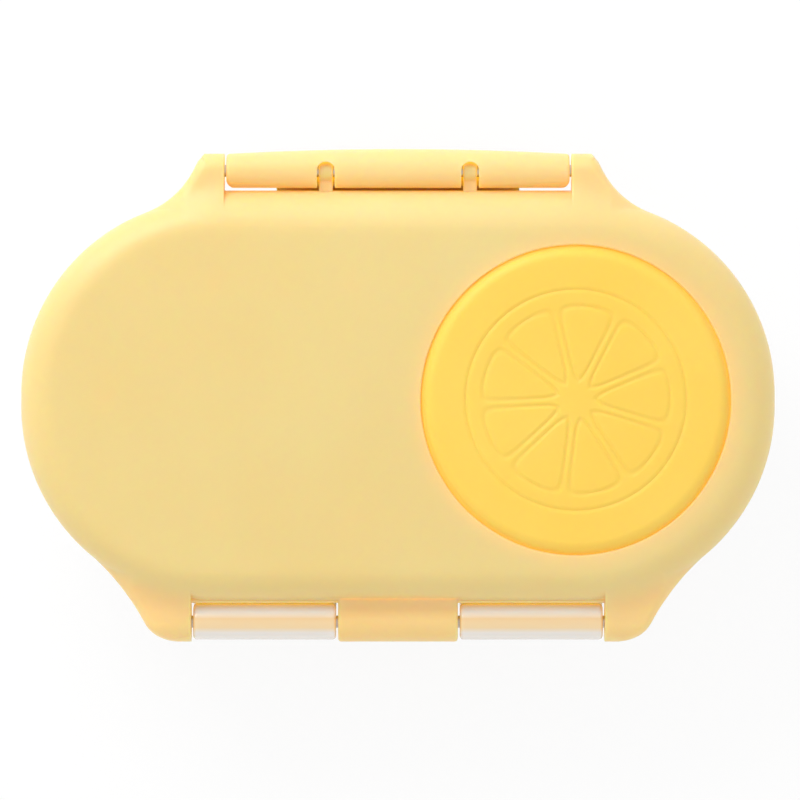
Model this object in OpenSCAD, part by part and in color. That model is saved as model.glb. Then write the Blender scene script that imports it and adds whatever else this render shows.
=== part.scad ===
// Toddler snack container: a tub with a fruit well, a hinged lid with a stretchy round hub,
// a swinging front latch and a lift-out divider. Millimetres, +Z up.
// The origin is the centre of the face that the tub stands on, +X is to the right along the
// container, +Y is towards the latch and -Y towards the hinge.

/* [Lid] */
// Length of the lid, left to right
lid_len = 185; // [165:1:215]
// Depth of the lid's rounded outline, without latch and hinge
lid_depth = 98.4; // [90:0.2:112]
// Straight length in the middle of each rounded end
end_flat = 3; // [1:0.5:20]
// Height of the lid's flat top above the table
box_h = 45; // [42:0.5:60]
// Height of the lid's side, from its flat top to its lower edge
lid_h = 14; // [13:0.5:16]
// Wall of the lid
lid_wall = 2.2; // [1.6:0.1:2.6]
// Radius that rounds the lid's top edge
shoulder_r = 8; // [6:0.5:9]

/* [Tub] */
// Wall of the tub
tub_wall = 2; // [1.4:0.1:2.4]
// Thickness of the tub's floor
floor_t = 2; // [1.4:0.1:3]
// How far the tub's sides lean in from rim to table
tub_lean = 4; // [2:0.5:7]
// Radius round the tub's lower edge
foot_r = 7; // [5:0.5:9]
// Height of the rim above the tub's flange
rim_rise = 3.4; // [2.6:0.2:4]
// Thickness of the flange round the tub, just under the lid
flange_t = 2.8; // [2:0.2:3.6]
// Distance of the flange's edge in from the lid's outline
flange_inset = 0.8; // [0.4:0.1:1.4]
// Radius of the curved wall that parts off the fruit well
well_r = 50; // [44:1:54]
// Distance of the curved wall's nearest point left of the hub's centre
well_reach = 41.6; // [40:0.5:46]
// Thickness of the curved wall
well_wall = 1.8; // [1.2:0.1:2.4]

/* [Divider] */
// Distance of the divider in from the lid's left-hand end
divider_in = 50.5; // [40:0.5:60]
// Thickness of the divider
divider_t = 1.8; // [1.2:0.1:2.6]
// How far the ribs that hold the divider stand out
rib_out = 2; // [1.4:0.1:3]
// Width of each rib
rib_w = 1.6; // [1.2:0.1:2.4]
// Radius of the thumb dip in the divider's top edge
dip_r = 11; // [8:0.5:14]

/* [Hub] */
// Distance of the hub's centre in from the lid's right-hand end
hub_in = 49; // [47:0.5:54]
// Radius of the hub that shows through the lid
hub_r = 37.6; // [32:0.1:38]
// Thickness of the hub's stretchy skin
hub_skin = 2.4; // [1.6:0.1:2.8]
// How far the hub stands above the lid
hub_proud = 1.2; // [0.6:0.1:2]
// Radius round the hub's top edge
hub_edge_r = 3; // [1.5:0.5:3.4]
// Width of the hub's hidden flange beyond its edge
hub_flange = 2.6; // [1.6:0.1:2.8]
// Thickness of the hub's hidden flange
hub_flange_t = 2.4; // [1.6:0.1:2.6]
// Width of the hub's side wall
hub_side = 4; // [3:0.5:5]

/* [Liner and seal] */
// Thickness of the liner's plate
liner_t = 1.6; // [1.2:0.1:2]
// Height of the liner's underside above the tub's rim
liner_lift = 0.8; // [0.6:0.1:1.2]
// Thickness of the seal
seal_t = 2.2; // [1.8:0.1:2.4]
// Width of the seal
seal_w = 3; // [2.4:0.1:3.4]
// Radius of the posts that carry the liner
post_r = 2.5; // [2:0.1:3.5]

/* [Hinge] */
// Distance of the hinge axis outside the lid's outline
hinge_out = 5.3; // [5:0.1:6.4]
// Radius of the lid's hinge knuckles
knuckle_r = 4.9; // [4.4:0.1:5]
// Width of the lid's middle knuckle
mid_knuckle_w = 29.4; // [22:0.2:36]
// Width of each tub knuckle
tub_knuckle_w = 35.1; // [28:0.1:37]
// Thickness of the lid's hinge ears at their tips
hinge_ear_t = 9.2; // [7:0.1:11]
// Radius of the hinge and latch pins
pin_r = 1.5; // [1.2:0.1:1.8]

/* [Latch] */
// Distance of the latch axis outside the lid's outline
latch_out = 7.1; // [6.6:0.1:8]
// Depth of the latch axis below the lid's flat top
latch_drop = 9; // [8.5:0.1:9.6]
// Radius of the latch's barrel
barrel_r = 4.2; // [4:0.1:4.4]
// Width of the latch
latch_w = 84.2; // [76:0.2:88]
// How far the middle of the latch's face bows out
latch_bow = 1.2; // [0.4:0.1:2]
// Length of the latch's flap below its axis
flap_len = 22; // [18:0.5:26]
// Thickness of the flap at its middle
flap_t = 2.8; // [2.2:0.1:3.4]
// Width of the hook behind the flap
hook_w = 60; // [50:1:66]
// Thickness of the hook
hook_t = 2.6; // [2:0.1:3.2]
// How far the hook reaches under the tub's catch
hook_grip = 0.9; // [0.5:0.1:1]
// Distance of each lug from the middle of the latch
lug_x = 17.7; // [14:0.1:22]
// Width of the slots in the latch for the lid's lugs
slot_w = 4.4; // [4:0.1:6]
// Thickness of the lid's front ears at their tips
latch_ear_t = 6; // [5:0.1:7]

/* [Hidden] */
$fn = 120;

// Clearances
run_gap = 0.08;
press_gap = 0.01;
side_gap = 0.5;
part_gap = 0.4;
seat_gap = 0.1;
soft_gap = 0.3;
slot_gap = 0.25;
slit = 0.6;

// How far a cutting shape runs past what it cuts
cut_past = 1;
far = 200;

// Plan: four round corners about the points (+-corner_x, +-corner_y)
corner_r = (lid_depth - end_flat) / 2;
corner_x = lid_len / 2 - corner_r;
corner_y = end_flat / 2;
lid_y = lid_depth / 2;
hub_x = lid_len / 2 - hub_in;

// Levels
skirt_z = box_h - lid_h;
flange_z = skirt_z - part_gap - flange_t;
flange_top = flange_z + flange_t;
rim_z = flange_top + rim_rise;
plate_z = box_h - lid_wall;
liner_z = rim_z + liner_lift;
step_z = liner_z + liner_t;
hub_flange_z = plate_z - seat_gap - hub_flange_t;

// Gap round the tub's rim, wide enough for the lid's lower edge to swing past it
rim_gap = norm([hinge_out + lid_wall, rim_z - skirt_z]) - hinge_out - lid_wall + slot_gap;

// Insets from the lid's outline
rim_inset = lid_wall + rim_gap;
liner_inset = lid_wall + side_gap;
seal_inset = liner_inset + soft_gap / 2;
pad_inset = seal_inset + seal_w + soft_gap / 2;
step_w = 2;

// Hinge
hinge_y = lid_y + hinge_out;
hinge_z = rim_z;
tub_knuckle_r = knuckle_r - side_gap;
hinge_recess_y = hinge_y - tub_knuckle_r - soft_gap;
tub_knuckle_x = mid_knuckle_w / 2 + side_gap;
hinge_ear_x = tub_knuckle_x + tub_knuckle_w + side_gap;
hinge_flare_r = 60;
hinge_tip_r = 9;
hinge_valley_r = 3;
blend_bite = 0.03;
pin_hold = 5;

// Latch
latch_y = lid_y + latch_out;
latch_z = box_h - latch_drop;
front_y = latch_y - barrel_r - slit;
lobe_r = front_y - lid_y + shoulder_r;
latch_ear_x = latch_w / 2 + side_gap;
latch_flare_r = 22;
latch_tip_r = 1.5;
ear_dip = 0.6;
latch_end_r = 2;
flap_corner_r = 6;
face_y = latch_y + barrel_r + latch_bow;
flap_z = latch_z - flap_len;
bow_r = (pow(latch_w / 2, 2) + pow(latch_bow, 2)) / (2 * latch_bow);
catch_set = 1.1;
catch_y = front_y - catch_set;
catch_past = 1;
hook_top = flange_z - soft_gap;
pocket_wall = 1.1;
pocket_r = barrel_r - pocket_wall;
eye_r = pocket_r - part_gap;
lug_t = slot_w - 2 * side_gap;
arm_t = 2.2;
// The slot's round end clears the corners of the lug's arm
slot_past = arm_t / 2 + slot_gap + slot_w / 2 - sqrt(pow(slot_w, 2) - pow(lug_t, 2)) / 2;

// Divider
divider_x = lid_len / 2 - divider_in;
divider_gap = 0.3;
divider_top = step_z - seat_gap - seal_t - soft_gap;
rib_band = 3 * rib_w;
rib_end_y = lid_y - rim_inset - tub_wall - tub_lean - foot_r;

lid_colour = [0.945, 0.835, 0.560];
hub_colour = [0.995, 0.835, 0.400];
clear_colour = [0.93, 0.92, 0.89, 0.55];
liner_colour = [0.96, 0.95, 0.92];
steel_colour = [0.72, 0.73, 0.75];

// The point where circles of radius ra about a and rb about b meet; side is 1 or -1
function meet(a, ra, b, rb, side) =
    let (d = norm(b - a), u = (b - a) / d, k = (ra * ra - rb * rb + d * d) / (2 * d))
    a + k * u + side * sqrt(ra * ra - k * k) * [-u[1], u[0]];

// The lid's outline, drawn in by inset
module plan(inset) {
    r = corner_r - inset;
    for (x = [-corner_x, corner_x], y = [-corner_y, corner_y])
        translate([x, y])
            circle(r);
    square([2 * corner_x, 2 * (corner_y + r)], center = true);
    square([2 * (corner_x + r), 2 * corner_y], center = true);
}

// Carries a section round the outline, and fills its middle from z0 up to z1.
// The section is drawn with x as the distance out from a corner's centre and y as height.
module round_plan(z0, z1) {
    for (mx = [0, 1], my = [0, 1])
        mirror([mx, 0, 0])
            mirror([0, my, 0])
                translate([corner_x, corner_y, 0])
                    rotate_extrude(angle = 90)
                        children();
    for (my = [0, 1])
        mirror([0, my, 0])
            translate([-corner_x, corner_y, 0])
                rotate([90, 0, 90])
                    linear_extrude(2 * corner_x)
                        children();
    for (mx = [0, 1])
        mirror([mx, 0, 0])
            translate([corner_x, corner_y, 0])
                rotate([90, 0, 0])
                    linear_extrude(2 * corner_y)
                        children();
    translate([-corner_x, -corner_y, z0])
        cube([2 * corner_x, 2 * corner_y, z1 - z0]);
}

// Extrudes a side view, drawn with x as +Y and y as +Z, from x0 to x1
module side_view(x0, x1) {
    translate([x0, 0, 0])
        rotate([90, 0, 90])
            linear_extrude(x1 - x0)
                children();
}

// Half section of a pan with leaning sides and a round lower edge, inset from the rim's outer face
module pan(inset, z0, z1) {
    lean = atan(tub_lean / rim_z);
    r = max(foot_r - inset, 1);
    top_x = corner_r - rim_inset - inset / cos(lean) - (rim_z - z1) * tan(lean);
    low_x = top_x - (z1 - z0) * tan(lean);
    t = r / tan((90 + lean) / 2);
    union() {
        polygon([[0, z0], [low_x - t, z0], [low_x + t * sin(lean), z0 + t * cos(lean)], [top_x, z1], [0, z1]]);
        translate([low_x - t, z0 + r])
            circle(r);
    }
}

// Solid that fills the tub up to z1, inset from its outer face
module tub_fill(inset, z0, z1) {
    round_plan(z0, z1)
        pan(inset, z0, z1);
}

// The lid's outer form from z0 up, drawn in by inset
module lid_fill(inset, z0) {
    r = shoulder_r - inset;
    top = box_h - inset;
    x = corner_r - shoulder_r;
    round_plan(z0, top) {
        translate([0, z0])
            square([x + r, top - r - z0]);
        translate([0, z0])
            square([x, top - z0]);
        translate([x, top - r])
            circle(r);
    }
}

// ---- Tub ----

module tub_knuckle_section() {
    reach = tub_knuckle_r / sqrt(2);
    wall_y = lid_y - rim_inset - tub_wall / 2;
    translate([hinge_y, hinge_z])
        circle(tub_knuckle_r);
    polygon([
        [wall_y, flange_z],
        [wall_y, flange_top],
        [hinge_recess_y - soft_gap, flange_top],
        [hinge_y, hinge_z],
        [hinge_y + reach, hinge_z - reach]
    ]);
}

module tub_shell() {
    round_plan(0, floor_t)
        intersection() {
            difference() {
                pan(0, 0, rim_z);
                pan(tub_wall, floor_t, rim_z + cut_past);
            }
            square([corner_r, rim_z]);
        }
    translate([0, 0, flange_z])
        linear_extrude(flange_t)
            difference() {
                plan(flange_inset);
                plan(rim_inset + tub_wall / 2);
            }
}

module tub_inner_walls() {
    difference() {
        intersection() {
            tub_fill(tub_wall / 2, floor_t / 2, rim_z);
            union() {
                translate([hub_x - well_reach + well_r, 0, floor_t / 2])
                    linear_extrude(far)
                        difference() {
                            circle(well_r);
                            circle(well_r - well_wall);
                            // Only the left part of the ring crosses the tub
                            translate([-well_r / 3, -far])
                                square(2 * far);
                        }
                for (s = [-1, 1])
                    translate([-divider_x + s * (divider_t / 2 + slot_gap + rib_w / 2) - rib_w / 2, -far, floor_t / 2])
                        difference() {
                            cube([rib_w, 2 * far, far]);
                            translate([-cut_past, far - rib_end_y, -cut_past])
                                cube([rib_w + 2 * cut_past, 2 * rib_end_y, 2 * far]);
                        }
            }
        }
        translate([-divider_x, 0, 0])
            intersection() {
                translate([-rib_band, -far, floor_t])
                    cube([2 * rib_band, 2 * far, far]);
                translate([divider_x, 0, 0])
                    tub_fill(tub_wall + rib_out, floor_t, rim_z + cut_past);
            }
    }
}

module base() {
    color(clear_colour)
    difference() {
        union() {
            tub_shell();
            tub_inner_walls();
            for (s = [0, 1])
                mirror([s, 0, 0])
                    mirror([0, 1, 0])
                        side_view(tub_knuckle_x, tub_knuckle_x + tub_knuckle_w)
                            tub_knuckle_section();
            // Catch for the latch
            translate([-hook_w / 2 - catch_past, lid_y - rim_inset - tub_wall / 2, flange_z])
                cube([hook_w + 2 * catch_past, catch_y - lid_y + rim_inset + tub_wall / 2, flange_t]);
        }
        translate([-far, -hinge_y, hinge_z])
            rotate([0, 90, 0])
                cylinder(h = 2 * far, r = pin_r + run_gap);
    }
}

module divider() {
    color(hub_colour)
    intersection() {
        translate([-divider_x - divider_t / 2, -far, floor_t])
            difference() {
                cube([divider_t, 2 * far, divider_top - floor_t]);
                translate([-cut_past, far, divider_top - floor_t + dip_r / 2])
                    rotate([0, 90, 0])
                        cylinder(h = divider_t + 2 * cut_past, r = dip_r);
            }
        tub_fill(tub_wall + divider_gap, floor_t, divider_top);
    }
}

// ---- Lid ----

// Plan of an ear: from its inner face at inner_x out to a hollow flare that runs into the outline
module ear_plan(inner_x, tip_x, tip_y, flare_r, tip_r) {
    c = meet([corner_x, corner_y], corner_r + flare_r, [tip_x, tip_y], flare_r, -1);
    u = (c - [corner_x, corner_y]) / norm(c - [corner_x, corner_y]);
    touch = [corner_x, corner_y] + corner_r * u;
    o_y = tip_y - tip_r;
    o = [c[0] - sqrt(pow(flare_r + tip_r, 2) - pow(c[1] - o_y, 2)), o_y];
    t = o + tip_r * (c - o) / norm(c - o);
    difference() {
        translate([inner_x, corner_y])
            square([touch[0] - inner_x, tip_y - corner_y]);
        translate(c)
            circle(flare_r);
        difference() {
            polygon([
                o,
                [o[0], tip_y + cut_past],
                [tip_x + tip_r, tip_y + cut_past],
                [tip_x + tip_r, t[1]],
                t
            ]);
            translate(o)
                circle(tip_r);
        }
    }
}

// Side view of the lid's middle knuckle: a barrel of radius r about [y, z] and the hollow
// blend of radius valley_r that joins it to the lid's shoulder
module knuckle_section(y, z, r, valley_r) {
    s = [lid_y - shoulder_r, box_h - shoulder_r];
    v = meet(s, shoulder_r + valley_r - blend_bite, [y, z], r + valley_r - blend_bite, 1);
    translate([y, z])
        circle(r);
    difference() {
        polygon([[s[0], skirt_z], s, v, [y, z], [y, max(z - r, skirt_z)]]);
        translate(v)
            circle(valley_r);
    }
}

// Side view of an ear: a barrel of radius r about [y, z], and a deck that runs in to the lid
module ear_section(y, z, r) {
    translate([y, z])
        circle(r);
    polygon([
        [lid_y - shoulder_r, skirt_z],
        [lid_y - shoulder_r, z + r - ear_dip],
        [y, z + r - ear_dip],
        [y, max(z - r, skirt_z)]
    ]);
}

module ears(inner_x, y, z, r, ear_t, flare_r, tip_r) {
    for (s = [0, 1])
        mirror([s, 0, 0])
            intersection() {
                side_view(0, far)
                    ear_section(y, z, r);
                translate([0, 0, skirt_z - r])
                    linear_extrude(box_h)
                        ear_plan(inner_x, inner_x + ear_t, y + r, flare_r, tip_r);
            }
}

module hinge_side() {
    mirror([0, 1, 0]) {
        ears(hinge_ear_x, hinge_y, hinge_z, knuckle_r, hinge_ear_t, hinge_flare_r, hinge_tip_r);
        side_view(-mid_knuckle_w / 2, mid_knuckle_w / 2)
            knuckle_section(hinge_y, hinge_z, knuckle_r, hinge_valley_r);
        // Wall behind the tub's knuckles
        translate([-hinge_ear_x - lid_wall, lid_y - lid_wall, skirt_z])
            cube([2 * (hinge_ear_x + lid_wall), hinge_recess_y - lid_y + lid_wall, hinge_z + knuckle_r - ear_dip - skirt_z]);
    }
}

// Wall behind the latch: it stands a little outside the outline and is rounded like the shoulder
module latch_wall() {
    low_z = box_h - lobe_r - blend_bite;
    translate([0, lid_y - shoulder_r, low_z]) {
        translate([-latch_ear_x, 0, 0])
            rotate([0, 90, 0])
                cylinder(h = 2 * latch_ear_x, r = lobe_r);
        for (x = [-latch_ear_x, latch_ear_x])
            translate([x, 0, 0]) {
                sphere(lobe_r);
                translate([0, 0, skirt_z - low_z])
                    cylinder(h = low_z - skirt_z, r = lobe_r);
            }
    }
    translate([-latch_ear_x, lid_y - shoulder_r, skirt_z])
        cube([2 * latch_ear_x, lobe_r, low_z - skirt_z]);
}

module latch_side() {
    ears(latch_ear_x, latch_y, latch_z, barrel_r, latch_ear_t, latch_flare_r, latch_tip_r);
    intersection() {
        latch_wall();
        translate([-far, 0, skirt_z])
            cube([2 * far, far, far]);
    }
    for (x = [-lug_x, lug_x])
        side_view(x - lug_t / 2, x + lug_t / 2) {
            translate([latch_y, latch_z])
                circle(eye_r);
            translate([front_y - slit, latch_z - arm_t / 2])
                square([latch_y - front_y + slit, arm_t]);
        }
}

module liner_posts() {
    for (p = [[-1.6, 0], [-1, 0.6], [-1, -0.6], [-0.25, 0.6], [-0.25, -0.6]])
        translate([p[0] * corner_x, p[1] * corner_r, step_z])
            cylinder(h = plate_z - step_z + lid_wall / 2, r = post_r);
}

module lid_shell() {
    color(lid_colour)
    difference() {
        union() {
            difference() {
                union() {
                    lid_fill(0, skirt_z);
                    hinge_side();
                    latch_side();
                }
                lid_fill(lid_wall, skirt_z - knuckle_r);
            }
            liner_posts();
        }
        translate([hub_x, 0, step_z])
            cylinder(h = far, r = hub_r + soft_gap);
        // Hinge pin's bore, closed at the left
        translate([-hinge_ear_x - pin_hold, -hinge_y, hinge_z])
            rotate([0, 90, 0])
                cylinder(h = far, r = pin_r + press_gap);
        // Latch pin's bore, closed at the left
        translate([-latch_ear_x - pin_hold / 2, latch_y, latch_z])
            rotate([0, 90, 0])
                cylinder(h = far, r = pin_r + press_gap);
    }
}

module lid_liner() {
    hole_r = hub_r - hub_side;
    color(liner_colour)
    difference() {
        union() {
            translate([0, 0, liner_z])
                linear_extrude(liner_t)
                    plan(pad_inset);
            translate([0, 0, step_z])
                linear_extrude(liner_t)
                    difference() {
                        plan(liner_inset);
                        plan(pad_inset + step_w);
                    }
            translate([hub_x, 0, liner_z])
                cylinder(h = hub_flange_z - seat_gap - liner_z, r = hub_r);
        }
        translate([hub_x, 0, 0])
            cylinder(h = far, r = hole_r);
    }
}

module lid_seal() {
    color(hub_colour)
        translate([0, 0, step_z - seat_gap - seal_t])
            linear_extrude(seal_t)
                difference() {
                    plan(seal_inset);
                    plan(seal_inset + seal_w);
                }
}

module fruit_hub() {
    top = box_h + hub_proud;
    color(hub_colour)
        translate([hub_x, 0, 0])
            rotate_extrude()
                difference() {
                    union() {
                        translate([0, hub_flange_z])
                            square([hub_r, top - hub_edge_r - hub_flange_z]);
                        translate([0, hub_flange_z])
                            square([hub_r - hub_edge_r, top - hub_flange_z]);
                        translate([hub_r - hub_edge_r, top - hub_edge_r])
                            circle(hub_edge_r);
                        translate([0, hub_flange_z])
                            square([hub_r + hub_flange, hub_flange_t]);
                    }
                    translate([0, hub_flange_z - cut_past])
                        square([hub_r - hub_side, top - hub_skin - hub_flange_z + cut_past]);
                    // Keeps the section on one side of the axis
                    translate([-far, 0])
                        square([far, far]);
                }
}

// ---- Latch and pins ----

module latch_section() {
    translate([latch_y, latch_z])
        circle(barrel_r);
    // Rounded brow that runs from the barrel's crown down into the flap
    intersection() {
        translate([latch_y, latch_z - latch_bow])
            circle(barrel_r + latch_bow);
        translate([latch_y, latch_z - latch_bow])
            square(far);
    }
    translate([face_y - flap_t, flap_z])
        square([flap_t, latch_z - flap_z]);
    // Hook
    translate([catch_y - hook_grip, hook_top - hook_t])
        square([face_y - flap_t / 2 - catch_y + hook_grip, hook_t]);
}

module latch() {
    color(lid_colour)
    difference() {
        intersection() {
            side_view(-latch_w / 2, latch_w / 2)
                latch_section();
            // Bowed face with rounded ends
            translate([0, 0, flap_z])
                linear_extrude(far)
                    intersection() {
                        translate([0, face_y - bow_r])
                            circle(bow_r, $fn = 720);
                        union() {
                            translate([-latch_w / 2 + latch_end_r, 0])
                                square([latch_w - 2 * latch_end_r, face_y + cut_past]);
                            for (x = [latch_end_r - latch_w / 2, latch_w / 2 - latch_end_r])
                                translate([x, latch_y - barrel_r + latch_end_r])
                                    circle(latch_end_r);
                            translate([-latch_w / 2, latch_y - barrel_r + latch_end_r])
                                square([latch_w, far]);
                        }
                    }
        }
        // Lower corners of the flap
        for (s = [0, 1])
            mirror([s, 0, 0])
                translate([latch_w / 2 - flap_corner_r, latch_y, flap_z + flap_corner_r])
                    rotate([-90, 0, 0])
                        linear_extrude(far)
                            difference() {
                                square(far);
                                circle(flap_corner_r);
                            }
        // Hook is narrower than the flap
        for (s = [0, 1])
            mirror([s, 0, 0])
                translate([hook_w / 2, 0, 0])
                    cube([far, face_y - flap_t, latch_z - barrel_r]);
        for (x = [-lug_x, lug_x]) {
            translate([x - slot_w / 2, latch_y, latch_z])
                rotate([0, 90, 0])
                    cylinder(h = slot_w, r = pocket_r);
            translate([x, 0, latch_z - slot_past]) {
                translate([-slot_w / 2, 0, 0])
                    cube([slot_w, latch_y + slot_past - slot_w / 2, far]);
                translate([0, latch_y + slot_past - slot_w / 2, 0])
                    cylinder(h = far, r = slot_w / 2);
            }
        }
        translate([-far, latch_y, latch_z])
            rotate([0, 90, 0])
                cylinder(h = 2 * far, r = pin_r + run_gap);
    }
}

module latch_pin() {
    color(steel_colour)
        translate([-latch_ear_x - pin_hold / 2 + seat_gap, latch_y, latch_z])
            rotate([0, 90, 0])
                cylinder(h = 2 * latch_ear_x + pin_hold - seat_gap, r = pin_r);
}

module hinge_pin() {
    color(steel_colour)
        translate([-hinge_ear_x - pin_hold + seat_gap, -hinge_y, hinge_z])
            rotate([0, 90, 0])
                cylinder(h = 2 * hinge_ear_x + 2 * pin_hold - seat_gap, r = pin_r);
}

base();
divider();
lid_shell();
lid_liner();
lid_seal();
fruit_hub();
latch();
latch_pin();
hinge_pin();
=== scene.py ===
"""Looks for a toddler snack container: moulded lid, silicone hub, front latch and frosted tub."""

import logging
import math
from collections.abc import Callable, Iterable
from dataclasses import dataclass
from enum import Enum

import bpy
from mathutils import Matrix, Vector


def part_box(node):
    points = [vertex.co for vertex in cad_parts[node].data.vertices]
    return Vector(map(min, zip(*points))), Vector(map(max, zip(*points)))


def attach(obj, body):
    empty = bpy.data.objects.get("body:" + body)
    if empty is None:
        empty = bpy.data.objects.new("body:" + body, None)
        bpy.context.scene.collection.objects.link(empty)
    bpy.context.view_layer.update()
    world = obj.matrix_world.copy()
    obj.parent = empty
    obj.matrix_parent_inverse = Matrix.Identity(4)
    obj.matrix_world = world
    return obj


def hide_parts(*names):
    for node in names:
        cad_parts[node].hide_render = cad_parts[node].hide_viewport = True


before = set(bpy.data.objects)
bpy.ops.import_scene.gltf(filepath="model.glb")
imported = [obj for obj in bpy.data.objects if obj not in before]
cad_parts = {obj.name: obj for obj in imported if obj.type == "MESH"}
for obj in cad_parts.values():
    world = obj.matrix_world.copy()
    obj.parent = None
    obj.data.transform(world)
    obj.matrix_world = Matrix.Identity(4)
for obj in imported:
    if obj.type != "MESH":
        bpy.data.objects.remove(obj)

MM = 0.001
LOG = logging.getLogger("snack_container")
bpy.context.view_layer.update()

Point = tuple[float, float]

# Distance of each pin from the middle line and its height, in millimetres
HINGE_AXIS: Point = (54.5, 34.0)
LATCH_AXIS: Point = (56.3, 36.0)
# A pin's radius, its clearance where it is held, and its clearance where it runs, in millimetres
PIN_R, PRESS_GAP, RUN_GAP = 1.5, 0.01, 0.08
# Length of every bore's cutter, and radius of a lathe's innermost ring, in millimetres
BORE_LENGTH, HEART_R = 200.0, 0.5
# Distance under which two points of a mesh count as one, in millimetres
SAME_POINT = 0.002


class Body(Enum):
    """The moving groups of the container."""

    TUB = "tub"
    LID = "lid"
    LATCH = "latch"


class Slot(Enum):
    """The record's material slots of the modelled pieces."""

    TUB = "frosted_tub"
    LID = "lid_plastic"
    HUB = "hub_silicone"


class Plane(Enum):
    """The plane that an outline is drawn in."""

    SIDE = "outline in Y and Z, pulled along X"
    PLAN = "outline in X and Y, pulled along Z"


class Axis(Enum):
    """The axis that a round body lies along."""

    X = "along the container"
    Z = "upright"


class Solid(Enum):
    """What one closed mesh does to another, by the modifier's own names."""

    UNION = "UNION"
    DIFFERENCE = "DIFFERENCE"
    INTERSECT = "INTERSECT"


# ---------------------------------------------------------------- materials


def linear(hex_colour: str) -> tuple[float, float, float, float]:
    """Turns an sRGB hex colour into linear RGBA.

    Args:
        hex_colour: Six hex digits, such as "f4d894".

    Returns:
        The colour in linear light, with alpha 1.
    """
    parts = [int(hex_colour[i : i + 2], 16) / 255 for i in (0, 2, 4)]
    light = [c / 12.92 if c <= 0.04045 else ((c + 0.055) / 1.055) ** 2.4 for c in parts]
    return (*light, 1.0)


def add_node(
    tree: bpy.types.NodeTree,
    kind: str,
    settings: dict[str, object] | None = None,
    links: dict[str | int, bpy.types.NodeSocket] | None = None,
) -> bpy.types.Node:
    """Adds a shader node with its settings and incoming links.

    Args:
        tree: The node tree that takes the node.
        kind: The node's type name, without the "ShaderNode" in front.
        settings: Values by name, for an input socket where the node has it, else for a property.
        links: Output sockets by the name or number of the input that each feeds.

    Returns:
        The new node.
    """
    node = tree.nodes.new("ShaderNode" + kind)
    for name, value in (settings or {}).items():
        if name in node.inputs:
            node.inputs[name].default_value = value
        else:
            setattr(node, name, value)
    for name, socket in (links or {}).items():
        tree.links.new(socket, node.inputs[name])
    return node


@dataclass(frozen=True)
class Grain:
    """The fine surface that the steel of a mould leaves on plastic.

    The real grain is about 0.1 mm wide, which is too fine to show in the render, so each finish
    draws it as coarse as it needs to show.

    Attributes:
        size_mm: Spacing of the grain.
        depth_mm: Height of the grain.
        strength: Share of that height which shows.
        detail: Number of finer layers in the grain.
        sharpness: Weight of those layers.
    """

    size_mm: float
    depth_mm: float
    strength: float
    detail: float = 3.0
    sharpness: float = 0.55

    def normal(self, tree: bpy.types.NodeTree) -> bpy.types.NodeSocket:
        """Builds the grain in a node tree.

        Args:
            tree: The material's node tree.

        Returns:
            The bumped normal.
        """
        place = add_node(tree, "TexCoord")
        fine = add_node(
            tree,
            "TexNoise",
            {
                "Scale": 1 / (self.size_mm * MM),
                "Detail": self.detail,
                "Roughness": self.sharpness,
            },
            {"Vector": place.outputs["Object"]},
        )
        bump = add_node(
            tree,
            "Bump",
            {"Strength": self.strength, "Distance": self.depth_mm * MM},
            {"Height": fine.outputs["Fac"]},
        )
        return bump.outputs["Normal"]


@dataclass(frozen=True)
class Cloud:
    """A slow drift between two colours, as pigment leaves it in a large moulding.

    Attributes:
        size_mm: Width of one cloud.
        light: Paler colour, as sRGB hex.
        dark: Deeper colour, as sRGB hex.
        detail: Number of finer layers in the drift.
        spread: Noise values at which the deeper and the paler colour are reached.
    """

    size_mm: float
    light: str
    dark: str
    detail: float = 2.0
    spread: Point = (0.3, 0.7)

    def colour(self, tree: bpy.types.NodeTree) -> bpy.types.NodeSocket:
        """Builds the drift in a node tree.

        Args:
            tree: The material's node tree.

        Returns:
            The colour.
        """
        place = add_node(tree, "TexCoord")
        noise = add_node(
            tree,
            "TexNoise",
            {"Scale": 1 / (self.size_mm * MM), "Detail": self.detail},
            {"Vector": place.outputs["Object"]},
        )
        ramp = add_node(tree, "ValToRGB", links={"Fac": noise.outputs["Fac"]})
        for point, position, colour in zip(
            ramp.color_ramp.elements, self.spread, (self.dark, self.light)
        ):
            point.position = position
            point.color = linear(colour)
        return ramp.outputs["Color"]


@dataclass(frozen=True)
class PaintedBarLight:
    """Painted light across a frosted round bar: a painted highlight at its edge towards the lid
    and, in its middle, the yellow parts beyond it painted in as if seen through it.

    Attributes:
        low_y_mm: Place of the bar's outer edge.
        high_y_mm: Place of its edge towards the lid.
        stops: Share of the way from the one to the other, and the sRGB hex colour there.
    """

    low_y_mm: float
    high_y_mm: float
    stops: tuple[tuple[float, str], ...]

    def colour(self, tree: bpy.types.NodeTree) -> bpy.types.NodeSocket:
        """Builds the colours in a node tree.

        Args:
            tree: The material's node tree.

        Returns:
            The colour.
        """
        place = add_node(tree, "TexCoord")
        split = add_node(tree, "SeparateXYZ", links={0: place.outputs["Object"]})
        share = add_node(
            tree,
            "MapRange",
            {"From Min": self.low_y_mm * MM, "From Max": self.high_y_mm * MM},
            {"Value": split.outputs["Y"]},
        )
        ramp = add_node(tree, "ValToRGB", links={"Fac": share.outputs["Result"]})
        points = ramp.color_ramp.elements
        while len(points) < len(self.stops):
            points.new(0.5)
        for point, (position, colour) in zip(points, self.stops):
            point.position = position
            point.color = linear(colour)
        return ramp.outputs["Color"]


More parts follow.
